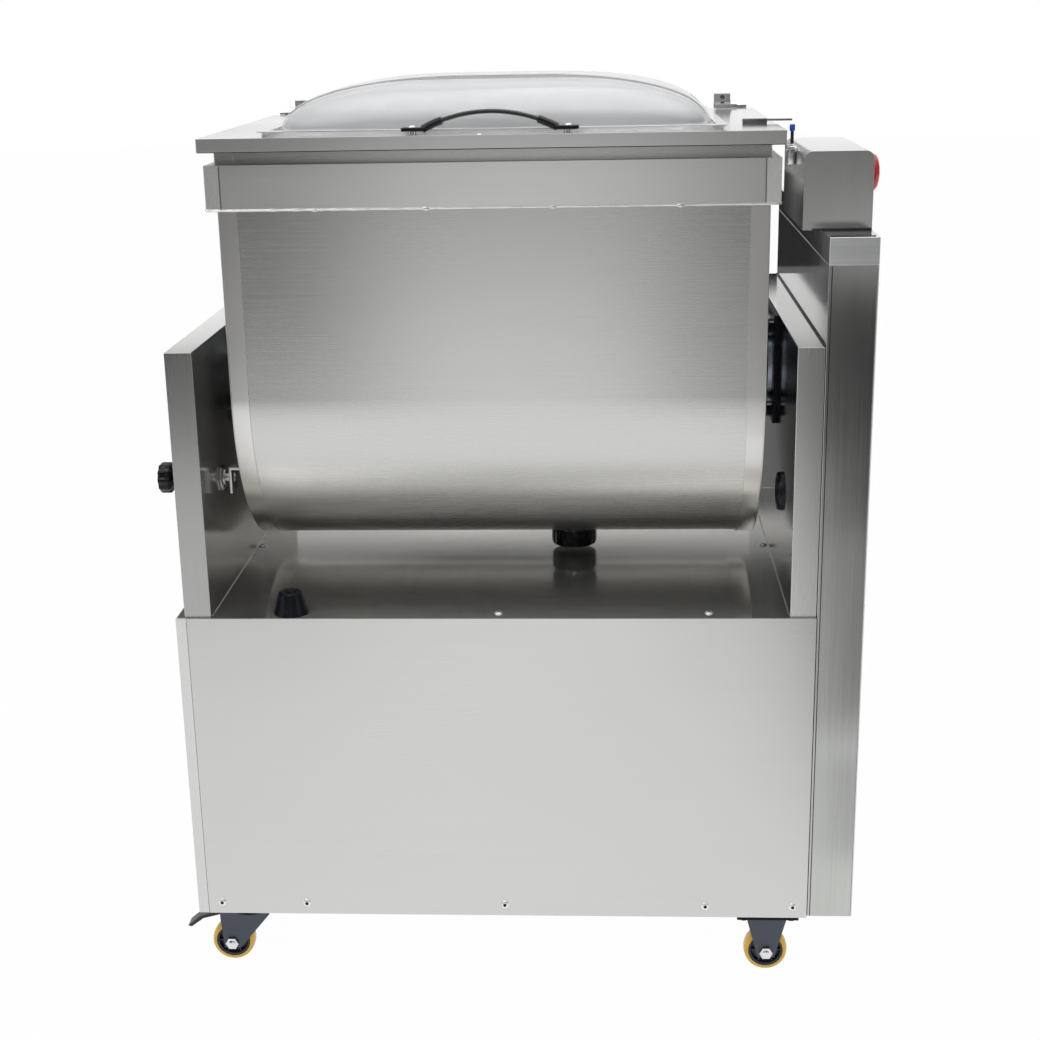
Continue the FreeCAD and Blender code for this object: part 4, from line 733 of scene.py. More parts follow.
    def piece(
        self,
        name: str,
        body: str,
        finish: Finish,
        *nodes: str,
        second: Finish | None = None,
    ) -> bpy.types.Object:
        """Make the finished object.

        Args:
            name: the piece's name.
            body: the body that it rides on.
            finish: what its surface is.
            nodes: the solids that it stands for.
            second: the finish of the faces marked with one.

        Returns:
            The new object, at the origin.
        """
        data = bpy.data.meshes.new(name)
        self.mesh.to_mesh(data)
        self.mesh.free()
        thing = bpy.data.objects.new(name, data)
        bpy.context.scene.collection.objects.link(thing)
        data.materials.append(finish.material)
        if second:
            data.materials.append(second.material)
        data.set_sharp_from_angle(angle=SHARP_ANGLE)
        for face in data.polygons:
            face.use_smooth = True
        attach(thing, body)
        if nodes:
            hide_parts(*nodes)
        log.info("%s rides on %s", name, body)
        return thing


def bar_profile(radius: float, length: float, chamfer: float) -> list[tuple[float, float]]:
    """The half section of a round bar with chamfered ends.

    Args:
        radius: the bar's radius.
        length: its length.
        chamfer: how far back its ends are cut.

    Returns:
        Pairs of radius and height.
    """
    if not chamfer:
        return [(0, 0), (radius, 0), (radius, length), (0, length)]
    return [
        (0, 0),
        (radius - chamfer, 0),
        (radius, chamfer),
        (radius, length - chamfer),
        (radius - chamfer, length),
        (0, length),
    ]


def islands(node: str) -> list[tuple[Vector, Vector]]:
    """The box of each separate solid of a node, from left to right.

    Args:
        node: the node.

    Returns:
        The low and high corner of each box.
    """
    mesh = bmesh.new()
    mesh.from_mesh(frame["nodes"][node].data)
    bmesh.ops.remove_doubles(mesh, verts=mesh.verts[:], dist=MERGE_REACH)
    seen: set[bmesh.types.BMVert] = set()
    boxes = []
    for first in mesh.verts:
        if first in seen:
            continue
        seen.add(first)
        ahead, spots = [first], []
        while ahead:
            vertex = ahead.pop()
            spots.append(tuple(vertex.co))
            for edge in vertex.link_edges:
                other = edge.other_vert(vertex)
                if other not in seen:
                    seen.add(other)
                    ahead.append(other)
        boxes.append((Vector(map(min, zip(*spots))), Vector(map(max, zip(*spots)))))
    mesh.free()
    return sorted(boxes, key=lambda box: tuple(box[0]))


def lies_up(height: float) -> Callable[[bmesh.types.BMFace], bool]:
    """A test for a face that looks up from above a height."""
    return lambda face: face.normal.z > FACING and face.calc_center_median().z > height


def looks_sideways(side: int) -> Callable[[bmesh.types.BMFace | bpy.types.MeshPolygon], bool]:
    """A test for a face that looks right, for a side of one, or left, for minus one."""
    return lambda face: face.normal.x * side > FACING


def middle_of(node: str) -> Vector:
    """The middle of a node's box."""
    low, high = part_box(node)
    return (low + high) / 2


def body_of(node: str) -> str:
    """The body that a node of the frame rides on."""
    return frame["nodes"][node]["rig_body"]


def softened(
    node: str,
    finish: Finish,
    width: float = 0.0005,
    second: Finish | None = None,
    chosen: Callable[[bmesh.types.BMFace], bool] | None = None,
    cuts: Sequence[tuple[Point, Point]] = (),
) -> bpy.types.Object:
    """Stand a copy of a solid in for it, with its triangles joined and its edges rounded.

    Args:
        node: the solid.
        finish: what its surface is.
        width: how far back each edge is rounded.
        second: a finish for some of its faces.
        chosen: which faces take the second finish.
        cuts: planes to split its faces along, each a point and a normal.

    Returns:
        The new piece.
    """
    shape = Shape()
    shape.mesh.from_mesh(frame["nodes"][node].data)
    mesh = shape.mesh
    bmesh.ops.remove_doubles(mesh, verts=mesh.verts[:], dist=MERGE_REACH)
    bmesh.ops.dissolve_limit(
        mesh, angle_limit=FLAT_ANGLE, verts=mesh.verts[:], edges=mesh.edges[:]
    )
    for point, normal in cuts:
        everything = mesh.verts[:] + mesh.edges[:] + mesh.faces[:]
        bmesh.ops.bisect_plane(mesh, geom=everything, plane_co=point, plane_no=normal)
    for face in mesh.faces:
        face.material_index = int(chosen(face)) if chosen else 0
    thing = shape.piece(node + "_finished", body_of(node), finish, node, second=second)
    round_over(thing, width)
    return thing


def soften_each(finishes: dict[str, Finish], width: float) -> None:
    """Stand softened copies in for several solids, each with a finish of its own."""
    for node, finish in finishes.items():
        softened(node, finish, width)


def repaint(
    thing: bpy.types.Object, finish: Finish, chosen: Callable[[bpy.types.MeshPolygon], bool]
) -> None:
    """Give some of a piece's faces one more finish.

    Args:
        thing: the piece.
        finish: the finish.
        chosen: which faces take it.
    """
    thing.data.materials.append(finish.material)
    for face in thing.data.polygons:
        if chosen(face):
            face.material_index = len(thing.data.materials) - 1


def round_over(thing: bpy.types.Object, width: float, segments: int = 2) -> None:
    """Round a piece's sharp edges and keep its flats flat.

    Args:
        thing: the piece.
        width: how far back each edge is rounded.
        segments: steps in each rounded edge.
    """
    edges = thing.modifiers.new("edges", "BEVEL")
    edges.width = width
    edges.segments = segments
    edges.limit_method = "ANGLE"
    edges.angle_limit = SHARP_ANGLE
    edges.harden_normals = False
    edges.use_clamp_overlap = True
    flats = thing.modifiers.new("flats", "WEIGHTED_NORMAL")
    flats.keep_sharp = False
    for edge in thing.data.edges:
        edge.use_edge_sharp = False


def bead(
    name: str, path: Sequence[Point], radius: float, body: str, finish: Finish, seed: int
) -> None:
    """A weld bead: a thin rope of metal of uneven thickness along straight runs.

    Args:
        name: the piece's name.
        path: the corners that it runs between.
        radius: its radius.
        body: the body that it rides on.
        finish: what its surface is.
        seed: where its unevenness starts.
    """
    spacing = radius * 2.2
    points: list[tuple[Vector, float]] = []
    for start, end in zip(path, path[1:]):
        start, end = Vector(start), Vector(end)
        count = max(2, int((end - start).length / spacing))
        for step in range(count):
            spot = start.lerp(end, step / count)
            wave = noise_of.noise(spot * 160 + Vector((seed, 0, 0)))
            points.append((spot, 1 + 0.35 * wave))
    line = bpy.data.curves.new(name, "CURVE")
    line.dimensions = "3D"
    line.bevel_depth = radius
    line.bevel_resolution = 2
    spline = line.splines.new("POLY")
    spline.points.add(len(points) - 1)
    for point, (spot, swell) in zip(spline.points, points):
        point.co = (*spot, 1)
        point.radius = swell
    carrier = bpy.data.objects.new(name, line)
    bpy.context.scene.collection.objects.link(carrier)
    data = bpy.data.meshes.new_from_object(carrier)
    bpy.data.objects.remove(carrier)
    shape = Shape()
    shape.mesh.from_mesh(data)
    shape.piece(name, body, finish)


@dataclass(frozen=True)
class Card:
    """An upright card that faces along Y or X, out of the camera's sight."""

    name: str
    across: tuple[float, float]
    depth: float
    height: tuple[float, float]
    level: float
    faces: Axis = Axis.Y


@dataclass
class Studio:
    """The pale floor, the soft light, the cards that the metal mirrors, and the camera."""

    lens: float = 57.88
    from_corner: tuple[float, float, float] = (0.47505, -1.70844, 0.62729)
    yaw: float = 3.124
    down: float = 16.752
    roll: float = -1.098
    floor_reach: float = 14.0
    floor_glow: float = 0.98
    world_level: float = 0.55
    cards: tuple[Card, ...] = (
        Card("card_left_low", (-3.6, -0.62), CARDS_IN_FRONT, (0.0, 0.20), 0.14),
        Card("card_left", (-3.6, -0.62), CARDS_IN_FRONT, (0.20, 0.55), 0.0),
        Card("card_mid_left", (-0.62, -0.46), CARDS_IN_FRONT, (0.0, 0.42), 0.62),
        Card("card_mid_left_high", (-0.62, -0.46), CARDS_IN_FRONT, (0.42, 0.55), 0.20),
        Card("card_middle_low", (-0.46, 0.26), CARDS_IN_FRONT, (0.0, 0.40), 1.12),
        Card("card_middle", (-0.46, 0.30), CARDS_IN_FRONT, (0.40, 0.55), 0.40),
        Card("card_right_low", (0.26, 3.6), CARDS_IN_FRONT, (0.0, 0.20), 0.24),
        Card("card_right_middle", (0.26, 3.6), CARDS_IN_FRONT, (0.20, 0.40), 0.03),
        Card("card_right", (0.30, 3.6), CARDS_IN_FRONT, (0.40, 0.55), 0.03),
        Card("card_strip_low", (-0.72, 0.36), CARDS_IN_FRONT, (0.55, 0.62), 0.30),
        Card("card_strip", (-0.72, 0.36), CARDS_IN_FRONT, (0.62, 0.85), 0.40),
        Card("card_strip_left", (-3.6, -0.72), CARDS_IN_FRONT, (0.55, 0.85), 0.16),
        Card("card_strip_right", (0.36, 3.6), CARDS_IN_FRONT, (0.55, 0.85), 0.18),
        Card("card_upper_left", (-3.6, -0.5), CARDS_IN_FRONT, (0.85, 3.4), 0.06),
        Card("card_upper", (-0.5, 0.35), CARDS_IN_FRONT, (0.85, 3.4), 0.45),
        Card("card_upper_right", (0.35, 3.6), CARDS_IN_FRONT, (0.85, 3.4), 0.10),
        Card("card_rear_high", (-1.8, 1.8), CARDS_AT_REAR, (1.44, 2.0), 0.0),
        Card("card_column", (0.455, 2.2), -1.5, (0.0, 0.615), 0.03),
        Card("card_column_low", (0.415, 1.1), -0.95, (0.0, 0.33), 0.24),
        Card("card_column_foot", (0.387, 0.7), -0.56, (0.0, 0.14), 0.62),
        Card("card_rear", (-1.5, 1.5), CARDS_AT_REAR, (0.0, 0.9), 0.03),
        Card("card_behind_left", (-0.55, 0.14), CARDS_BEHIND, (0.725, 0.86), 0.0),
        Card("card_behind_right", (0.31, 0.55), CARDS_BEHIND, (0.725, 0.86), 0.0),
        Card("card_behind_low", (-0.55, 0.55), CARDS_BEHIND, (0.22, 0.66), 0.15),
        Card("card_box", (0.56, 1.2), CARDS_FOR_BOX, (0.48, 0.62), 0.60),
        Card("card_box_low", (0.56, 1.2), CARDS_FOR_BOX, (0.33, 0.48), 0.70),
        Card("card_side_right", (-1.2, 2.6), 2.8, (0.45, 2.4), 0.22, Axis.X),
        Card("card_side_left", (-1.2, 2.6), -2.8, (0.45, 2.4), 0.18, Axis.X),
    )

    def build(self) -> None:
        """Make everything that isn't part of the machine."""
        bpy.context.scene.view_settings.view_transform = "Standard"
        self.camera()
        self.world()
        self.floor()
        for card in self.cards:
            self.card(card)
        self.lamp("key", (-1.4, -1.6, 2.6), (1.6, 1.6), 14)
        self.lamp("top", (0.3, 0.4, 2.9), (2.4, 2.0), 18)

    def camera(self) -> None:
        """Stand the camera where the photograph was taken."""
        data = bpy.data.cameras.new("camera")
        data.lens = self.lens
        data.sensor_width = 36.0
        holder = bpy.data.objects.new("camera", data)
        bpy.context.scene.collection.objects.link(holder)
        low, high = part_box("left_side_panel")
        spot = Vector((low.x, low.y, high.z)) + Vector(self.from_corner)
        turn = (
            Matrix.Rotation(math.radians(self.yaw), 4, "Z")
            @ Matrix.Rotation(math.radians(90 - self.down), 4, "X")
            @ Matrix.Rotation(math.radians(self.roll), 4, "Z")
        )
        holder.matrix_world = Matrix.Translation(spot) @ turn
        bpy.context.scene.camera = holder

    def world(self) -> None:
        """A white surround, and a softer one for what it lights."""
        world = bpy.data.worlds.new("studio")
        bpy.context.scene.world = world
        world.use_nodes = True
        tree = world.node_tree
        plain = tree.nodes["Background"]
        plain.inputs["Color"].default_value = (0.95, 0.97, 1.0, 1.0)
        plain.inputs["Strength"].default_value = self.world_level
        seen = tree.nodes.new("ShaderNodeBackground")
        seen.inputs["Strength"].default_value = 1.0
        seen.inputs["Color"].default_value = (1.0, 1.0, 1.0, 1.0)
        mix = tree.nodes.new("ShaderNodeMixShader")
        tree.links.new(seen_directly(tree), mix.inputs["Fac"])
        tree.links.new(plain.outputs["Background"], mix.inputs[1])
        tree.links.new(seen.outputs["Background"], mix.inputs[2])
        tree.links.new(mix.outputs["Shader"], tree.nodes["World Output"].inputs["Surface"])

    def floor(self) -> None:
        """A pale floor that shows white and keeps a soft shadow."""
        graph = Graph("pale_floor")
        tree = graph.tree
        graph.feed(graph.shader, Base_Color=(0.9, 0.9, 0.9, 1.0), Roughness=0.9)
        glow = graph.feed(graph.node("Emission"), Color=(1.0, 1.0, 1.0, 1.0), Strength=1.0)
        share = graph.node("Math", operation="MULTIPLY")
        tree.links.new(seen_directly(tree), share.inputs[0])
        share.inputs[1].default_value = self.floor_glow
        mix = graph.node("MixShader")
        tree.links.new(share.outputs["Value"], mix.inputs["Fac"])
        tree.links.new(graph.shader.outputs["BSDF"], mix.inputs[1])
        tree.links.new(glow.outputs["Emission"], mix.inputs[2])
        tree.links.new(mix.outputs["Shader"], tree.nodes["Material Output"].inputs["Surface"])
        mesh = bmesh.new()
        bmesh.ops.create_circle(mesh, cap_ends=True, radius=self.floor_reach, segments=96)
        self.set_out("floor", mesh, graph.material)

    def card(self, card: Card) -> None:
        """Stand up a card that only the metal and the glass mirror.

        Args:
            card: the card's place and level.
        """
        graph = Graph(card.name)
        grey = (card.level, card.level, card.level, 1.0)
        glow = graph.feed(graph.node("Emission"), Color=grey, Strength=1.0)
        output = graph.tree.nodes["Material Output"]
        graph.tree.links.new(glow.outputs["Emission"], output.inputs["Surface"])
        centre = Vector((sum(card.across) / 2, card.depth, sum(card.height) / 2))
        spread = Matrix.Diagonal(
            (card.across[1] - card.across[0], card.height[1] - card.height[0], 1.0, 1.0)
        )
        mesh = bmesh.new()
        stand = Matrix.Translation(centre) @ Matrix.Rotation(math.radians(90), 4, "X") @ spread
        if card.faces is Axis.X:
            quarter = Matrix.Rotation(math.radians(90), 4, "Z")
            stand = Matrix.Scale(-1, 4, (1, 0, 0)) @ quarter @ stand
        bmesh.ops.create_grid(mesh, x_segments=1, y_segments=1, size=0.5, matrix=stand)
        thing = self.set_out(card.name, mesh, graph.material)
        thing.visible_camera = False
        thing.visible_diffuse = False
        thing.visible_shadow = False

    def set_out(
        self, name: str, mesh: bmesh.types.BMesh, material: bpy.types.Material
    ) -> bpy.types.Object:
        """Put a piece of the studio in the scene.

        Args:
            name: its name.
            mesh: its mesh, which is used up.
            material: its material.

        Returns:
            The new object.
        """
        data = bpy.data.meshes.new(name)
        mesh.to_mesh(data)
        mesh.free()
        data.materials.append(material)
        thing = bpy.data.objects.new(name, data)
        bpy.context.scene.collection.objects.link(thing)
        return thing

    def lamp(self, name: str, at: Point, size: Point, power: float) -> None:
        """A soft box that looks at the middle of the machine.

        Args:
            name: its name.
            at: where it stands.
            size: its width and height.
            power: its power in watts.
        """
        data = bpy.data.lights.new(name, "AREA")
        data.shape = "RECTANGLE"
        data.size, data.size_y = size
        data.energy = power
        holder = bpy.data.objects.new(name, data)
        aim = Vector((0.0, 0.0, 0.6)) - Vector(at)
        holder.location = at
        holder.rotation_euler = aim.to_track_quat("-Z", "Y").to_euler()
        bpy.context.scene.collection.objects.link(holder)


def seen_directly(tree: bpy.types.NodeTree) -> bpy.types.NodeSocket:
    """One for a ray from the camera, or from gloss or glass, and otherwise nothing.

    Args:
        tree: the nodes to work in.

    Returns:
        The value.
    """
    path = tree.nodes.new("ShaderNodeLightPath")
    running = path.outputs["Is Camera Ray"]
    for name in ("Is Glossy Ray", "Is Transmission Ray"):
        adder = tree.nodes.new("ShaderNodeMath")
        adder.operation = "MAXIMUM"
        tree.links.new(running, adder.inputs[0])
        tree.links.new(path.outputs[name], adder.inputs[1])
        running = adder.outputs["Value"]
    return running


@dataclass
class Cabinet:
    """The wheeled cabinet with its deck, uprights and rubber stops."""

    sheet_round: float = 0.0007
    fold_round: float = 0.0022
    collar_radius: float = 0.0555
    head_radius: float = 0.0048
    head_rise: float = 0.0022
    weld_radius: float = 0.0009
    pin_to_cheek: float = 0.0485
    bush_edge: float = 0.050
    top_reach: float = 0.004

    def build(self) -> None:
        """Make the small pieces."""
        self.screws()
        self.stops()
        self.rear_screws()
        self.welds()

    def screws(self) -> None:
        """The domed screws of the front sheet and the deck."""
        shape = Shape()
        for low, high in islands("cabinet_screws"):
            middle, size = (low + high) / 2, high - low
            if size.z > size.y:
                at, axis = (middle.x, middle.y, high.z - self.head_rise), (0, 0, 1)
            else:
                at, axis = (middle.x, low.y + self.head_rise, middle.z), (0, -1, 0)
            shape.screw(at, axis, self.head_radius, self.head_rise)
        # The screws' pale steel is a painted highlight, and the black fill in each socket is
        # painted shade.
        shape.piece("panel_screws", "cabinet", SCREW_HIGHLIGHT_STEEL, "cabinet_screws", second=BLACK_GLOSS)

    def rear_screws(self) -> None:
        """Eight more round the rear sheet."""
        low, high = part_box("rear_panel")
        shape = Shape()
        for x in (low.x + 0.016, low.x + 0.24, high.x - 0.24, high.x - 0.016):
            for z in (low.z + 0.011, high.z - 0.011):
                shape.screw((x, high.y, z), (0, 1, 0), self.head_radius, self.head_rise)
        # The screws' pale steel is a painted highlight, and the black fill in each socket is
        # painted shade.
        shape.piece("rear_screws", "cabinet", SCREW_HIGHLIGHT_STEEL, second=BLACK_GLOSS)

    def stops(self) -> None:
        """The bumper on the deck and the ringed buffer on the right upright."""
        bumper, buffer = islands("rubber_stops")
        middle = (bumper[0] + bumper[1]) / 2
        shape = Shape()
        bumper_profile = (
            (0, 0.0150),
            (0.0056, 0.0150),
            (0.0064, 0.0232),
            (0.0082, 0.0246),
            (0.0112, 0.0250),
            (0.0130, 0.0238),
            (0.0183, 0.0042),
            (0.0192, 0.0030),
            (0.0192, 0.0),
            (0, 0),
        )
        shape.lathe(bumper_profile, (middle.x, middle.y, bumper[0].z), (0, 0, 1))
        shape.lathe(
            bar_profile(0.0052, 0.001, 0.0003),
            (middle.x, middle.y, bumper[0].z + 0.0150),
            (0, 0, 1),
            24,
            index=1,
        )
        middle = (buffer[0] + buffer[1]) / 2
        buffer_profile = (
            (0, 0),
            (0.0220, 0),
            (0.0220, 0.0055),
            (0.0205, 0.0075),
            (0.0188, 0.0078),
            (0.0180, 0.0062),
            (0.0166, 0.0062),
            (0.0158, 0.0085),
            (0.0120, 0.0090),
            (0.0084, 0.0090),
            (0.0076, 0.0050),
            (0, 0.0050),
        )
        shape.lathe(buffer_profile, (buffer[1].x, middle.y, middle.z), (-1, 0, 0))
        stops = shape.piece(
            "rubber_stops_turned", "cabinet", BUMPER_RUBBER, "rubber_stops", second=DARK_ZINC
        )
        stops.visible_glossy = False

    def welds(self) -> None:
        """A thin bead along the foot of each upright."""
        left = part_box("lock_pin")[0].x + self.pin_to_cheek
        for side, x in (("left", left), ("right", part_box("right_cheek")[0].x)):
            low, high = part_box(side + "_cheek")
            path = [(x, low.y + 0.002, low.z), (x, high.y - 0.002, low.z)]
            bead(side + "_cheek_weld", path, self.weld_radius, "cabinet", WELD_STEEL, 5)

    def on_plates(self) -> Callable[[bpy.types.MeshPolygon], bool]:
        """A test for the edges of the bearings' square plates.

        Returns:
            The test of a face.
        """
        axis = middle_of("agitator_shaft")
        return lambda face: (
            abs(face.normal.x) < EDGE_ON
            and max(abs(face.center.y - axis.y), abs(face.center.z - axis.z)) > self.collar_radius
        )

    def dress(self) -> None:
        """Finish every solid of the cabinet."""
        sheets = {
            "front_panel": SHEET_ACROSS,
            "left_side_panel": SHEET_UPRIGHT,
            "rear_panel": SHEET_ACROSS,
            "base_tray": SHEET_ACROSS,
            "deck_plate": DECK_SHEET,
        }
        soften_each(sheets, self.sheet_round)
        # Each cheek's inner face takes a darker sheet as painted shade, and the left cheek's own
        # darker sheet is painted shade too.
        for side, node, inner_face_shade in (
            (1, "left_cheek", SHADED_SHEET),
            (-1, "right_cheek", MIRROR_SHADE_SHEET),
        ):
            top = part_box(node)[1].z - self.top_reach
            chosen = lies_up(top)
            thing = softened(node, CHEEK_SHEETS[node], self.fold_round, POLISHED_SHEET, chosen)
            repaint(thing, inner_face_shade, looks_sideways(side))
        softened("cable_gland", BLACK_PLASTIC, self.sheet_round)
        thing = softened("bearing_housings", SLEEVE_STEEL, self.sheet_round)
        # The edges of the square plates are painted black: painted shade standing for the dark line
        # in the gap at the trough's end.
        repaint(thing, BLACK_ZINC, self.on_plates())
        axis = middle_of("agitator_shaft")
        softened(
            "bearing_bushes",
            BRONZE,
            self.sheet_round,
            RUBBER,
            lambda face: math.dist(face.calc_center_median().yz, axis.yz) > self.bush_edge,
        )
        drive = {"gearbox": CAST_PAINT, "gearbox_stand": OILED_STEEL, "motor": CAST_PAINT}
        soften_each(drive, self.sheet_round)


@dataclass
class Column:
    """The chain case beside the cabinet with the control box on it."""

    sheet_round: float = 0.0008
    box_round: float = 0.0035
    gasket: float = 0.0016
    tip: float = 0.007
    feeler_radius: float = 0.0018
    feeler_in: float = 0.006
    feeler_length: float = 0.026
    head_radius: float = 0.0048
    head_rise: float = 0.0022
    top_reach: float = 0.002
    button_round: float = 0.0004
    chain_round: float = 0.0003

    def build(self) -> None:
        """Make the seams, the painted shade in the column's gap, the stop button and the small
        hardware.
        """
        self.foot()
        self.stop()
        self.cover_screws()
        self.sensor()
        self.seams()

    def foot(self) -> None:
        """The gasket under the control box, and the sealed seam behind the cap's front edge."""
        low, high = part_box("control_box")
        black = Shape().block(
            (low.x + 0.010, low.y - 0.003, low.z),
            (high.x - 0.0005, high.y + 0.002, low.z + self.gasket),
            0.0004,
        )
        black.piece("box_gasket", "cabinet", RUBBER)
        low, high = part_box("column_cap")
        seam = Shape().block(
            (low.x + 0.002, low.y + 0.0045, high.z - 0.0004),
            (high.x - 0.004, low.y + 0.0095, high.z + 0.0006),
            0.0003,
        )
        seam.piece("cap_seam", "cabinet", RUBBER)

    def stop(self) -> None:
        """The mushroom stop button."""
        low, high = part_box("stop_button")
        middle = (low + high) / 2
        profile = (
            (0, 0),
            (0.0108, 0),
            (0.0108, 0.0158),
            (0.0176, 0.0158),
            (0.0197, 0.0172),
            (0.0200, 0.0205),
            (0.0192, 0.0238),
            (0.0160, 0.0262),
            (0.0110, 0.0275),
            (0.0050, 0.0280),
            (0, 0.0280),
        )
        shape = Shape().lathe(profile, (low.x, middle.y, middle.z), (1, 0, 0), 64)
        shape.piece("stop_button_turned", "stop_switch", RED_PLASTIC, "stop_button")

    def cover_screws(self) -> None:
        """Screws round the column's side cover."""
        low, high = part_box("column_cover")
        shape = Shape()
        for y in (low.y + 0.014, high.y - 0.014):
            for z in (low.z + 0.02, (low.z + high.z) / 2, high.z - 0.02):
                shape.screw((high.x, y, z), (1, 0, 0), self.head_radius, self.head_rise)
        # The screws' pale steel is a painted highlight, and the black fill in each socket is
        # painted shade.
        shape.piece("cover_screws", "cabinet", SCREW_HIGHLIGHT_STEEL, second=BLACK_GLOSS)

    def sensor(self) -> None:
        """The slim feeler with its blue tip, and the steel bracket and nuts that hold it."""
        low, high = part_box("lid_sensor")
        x, y = low.x + self.feeler_in, (low.y + high.y) / 2
        foot, head = high.z - self.feeler_length, high.z - self.tip
        shape = Shape().rod((x, y, low.z), (x, y, head + 0.001), self.feeler_radius, 0.0003)
        tip = (
            (0, 0),
            (0.0026, 0),
            (0.0030, 0.0006),
            (0.0030, 0.0058),
            (0.0024, 0.0070),
            (0, 0.0070),
        )
        shape.lathe(tip, (x, y, head), (0, 0, 1), 32, index=1)
        shape.piece("sensor_feeler", "cabinet", BLACK_PLASTIC, "lid_sensor", second=BLUE_PLASTIC)
        shelf = Shape().block((low.x, low.y, low.z + 0.0005), (high.x, high.y, foot), 0.0012)
        shelf.hexagon((x, y, foot), (0, 0, 1), 0.009, 0.0032)
        shelf.rod((x, y, foot), (x, y, foot + 0.0052), 0.0026, 0.0004)
        shelf.piece("sensor_shelf", "cabinet", BRIGHT_STEEL)

    def seams(self) -> None:
        """The dark lap seam on the column's front; a dark strip in the gap between the column and
        the cabinet, which is painted shade; and a dark strip along the outer edge of the right
        cheek's top.
        """
        low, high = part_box("column_shell")
        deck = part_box("front_panel")[1]
        shape = Shape().block(
            (low.x + 0.0030, low.y - 0.00015, low.z + 0.001),
            (low.x + 0.0040, low.y + 0.0005, high.z - 0.001),
        )
        # Painted shade: a dark strip filling the gap between the cabinet and the column.
        shape.block(
            (deck.x + 0.0001, low.y - 0.0008, low.z + 0.002),
            (low.x + 0.0008, low.y - 0.0001, deck.z - 0.002),
        )
        low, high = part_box("right_cheek")
        shape.block(
            (high.x - 0.0012, low.y + 0.001, high.z - 0.0002),
            (high.x + 0.0004, high.y - 0.001, high.z + 0.0008),
        )
        shape.piece("column_seams_and_gap_shade", "cabinet", RUBBER)

    def dress(self) -> None:
        """Finish the column and the controls."""
        # The column shell's faces that look left take the darker mirror sheet: painted shade.
        left = looks_sideways(-1)
        softened("column_shell", COLUMN_SHEET, self.sheet_round, MIRROR_SHADE_SHEET, left)
        softened("column_cover", SHEET_UPRIGHT, self.sheet_round)
        # The cap's own sheet is lighter: painted light.
        for node, finish, width in (
            ("column_cap", CAP_LIGHT_SHEET, self.sheet_round),
            ("control_box", BOX_SHEET, self.box_round),
        ):
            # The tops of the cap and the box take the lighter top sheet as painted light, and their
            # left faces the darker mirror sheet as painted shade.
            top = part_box(node)[1].z - self.top_reach
            repaint(softened(node, finish, width, TOP_PAINTED_LIGHT_SHEET, lies_up(top)), MIRROR_SHADE_SHEET, left)
        buttons = {
            "button_plate": BRIGHT_STEEL,
            "forward_button": GREEN_PLASTIC,
            "reverse_button": BLACK_PLASTIC,
        }
        soften_each(buttons, self.button_round)
        soften_each({"drive_chain": OILED_STEEL, "drive_sprocket": OILED_STEEL}, self.chain_round)


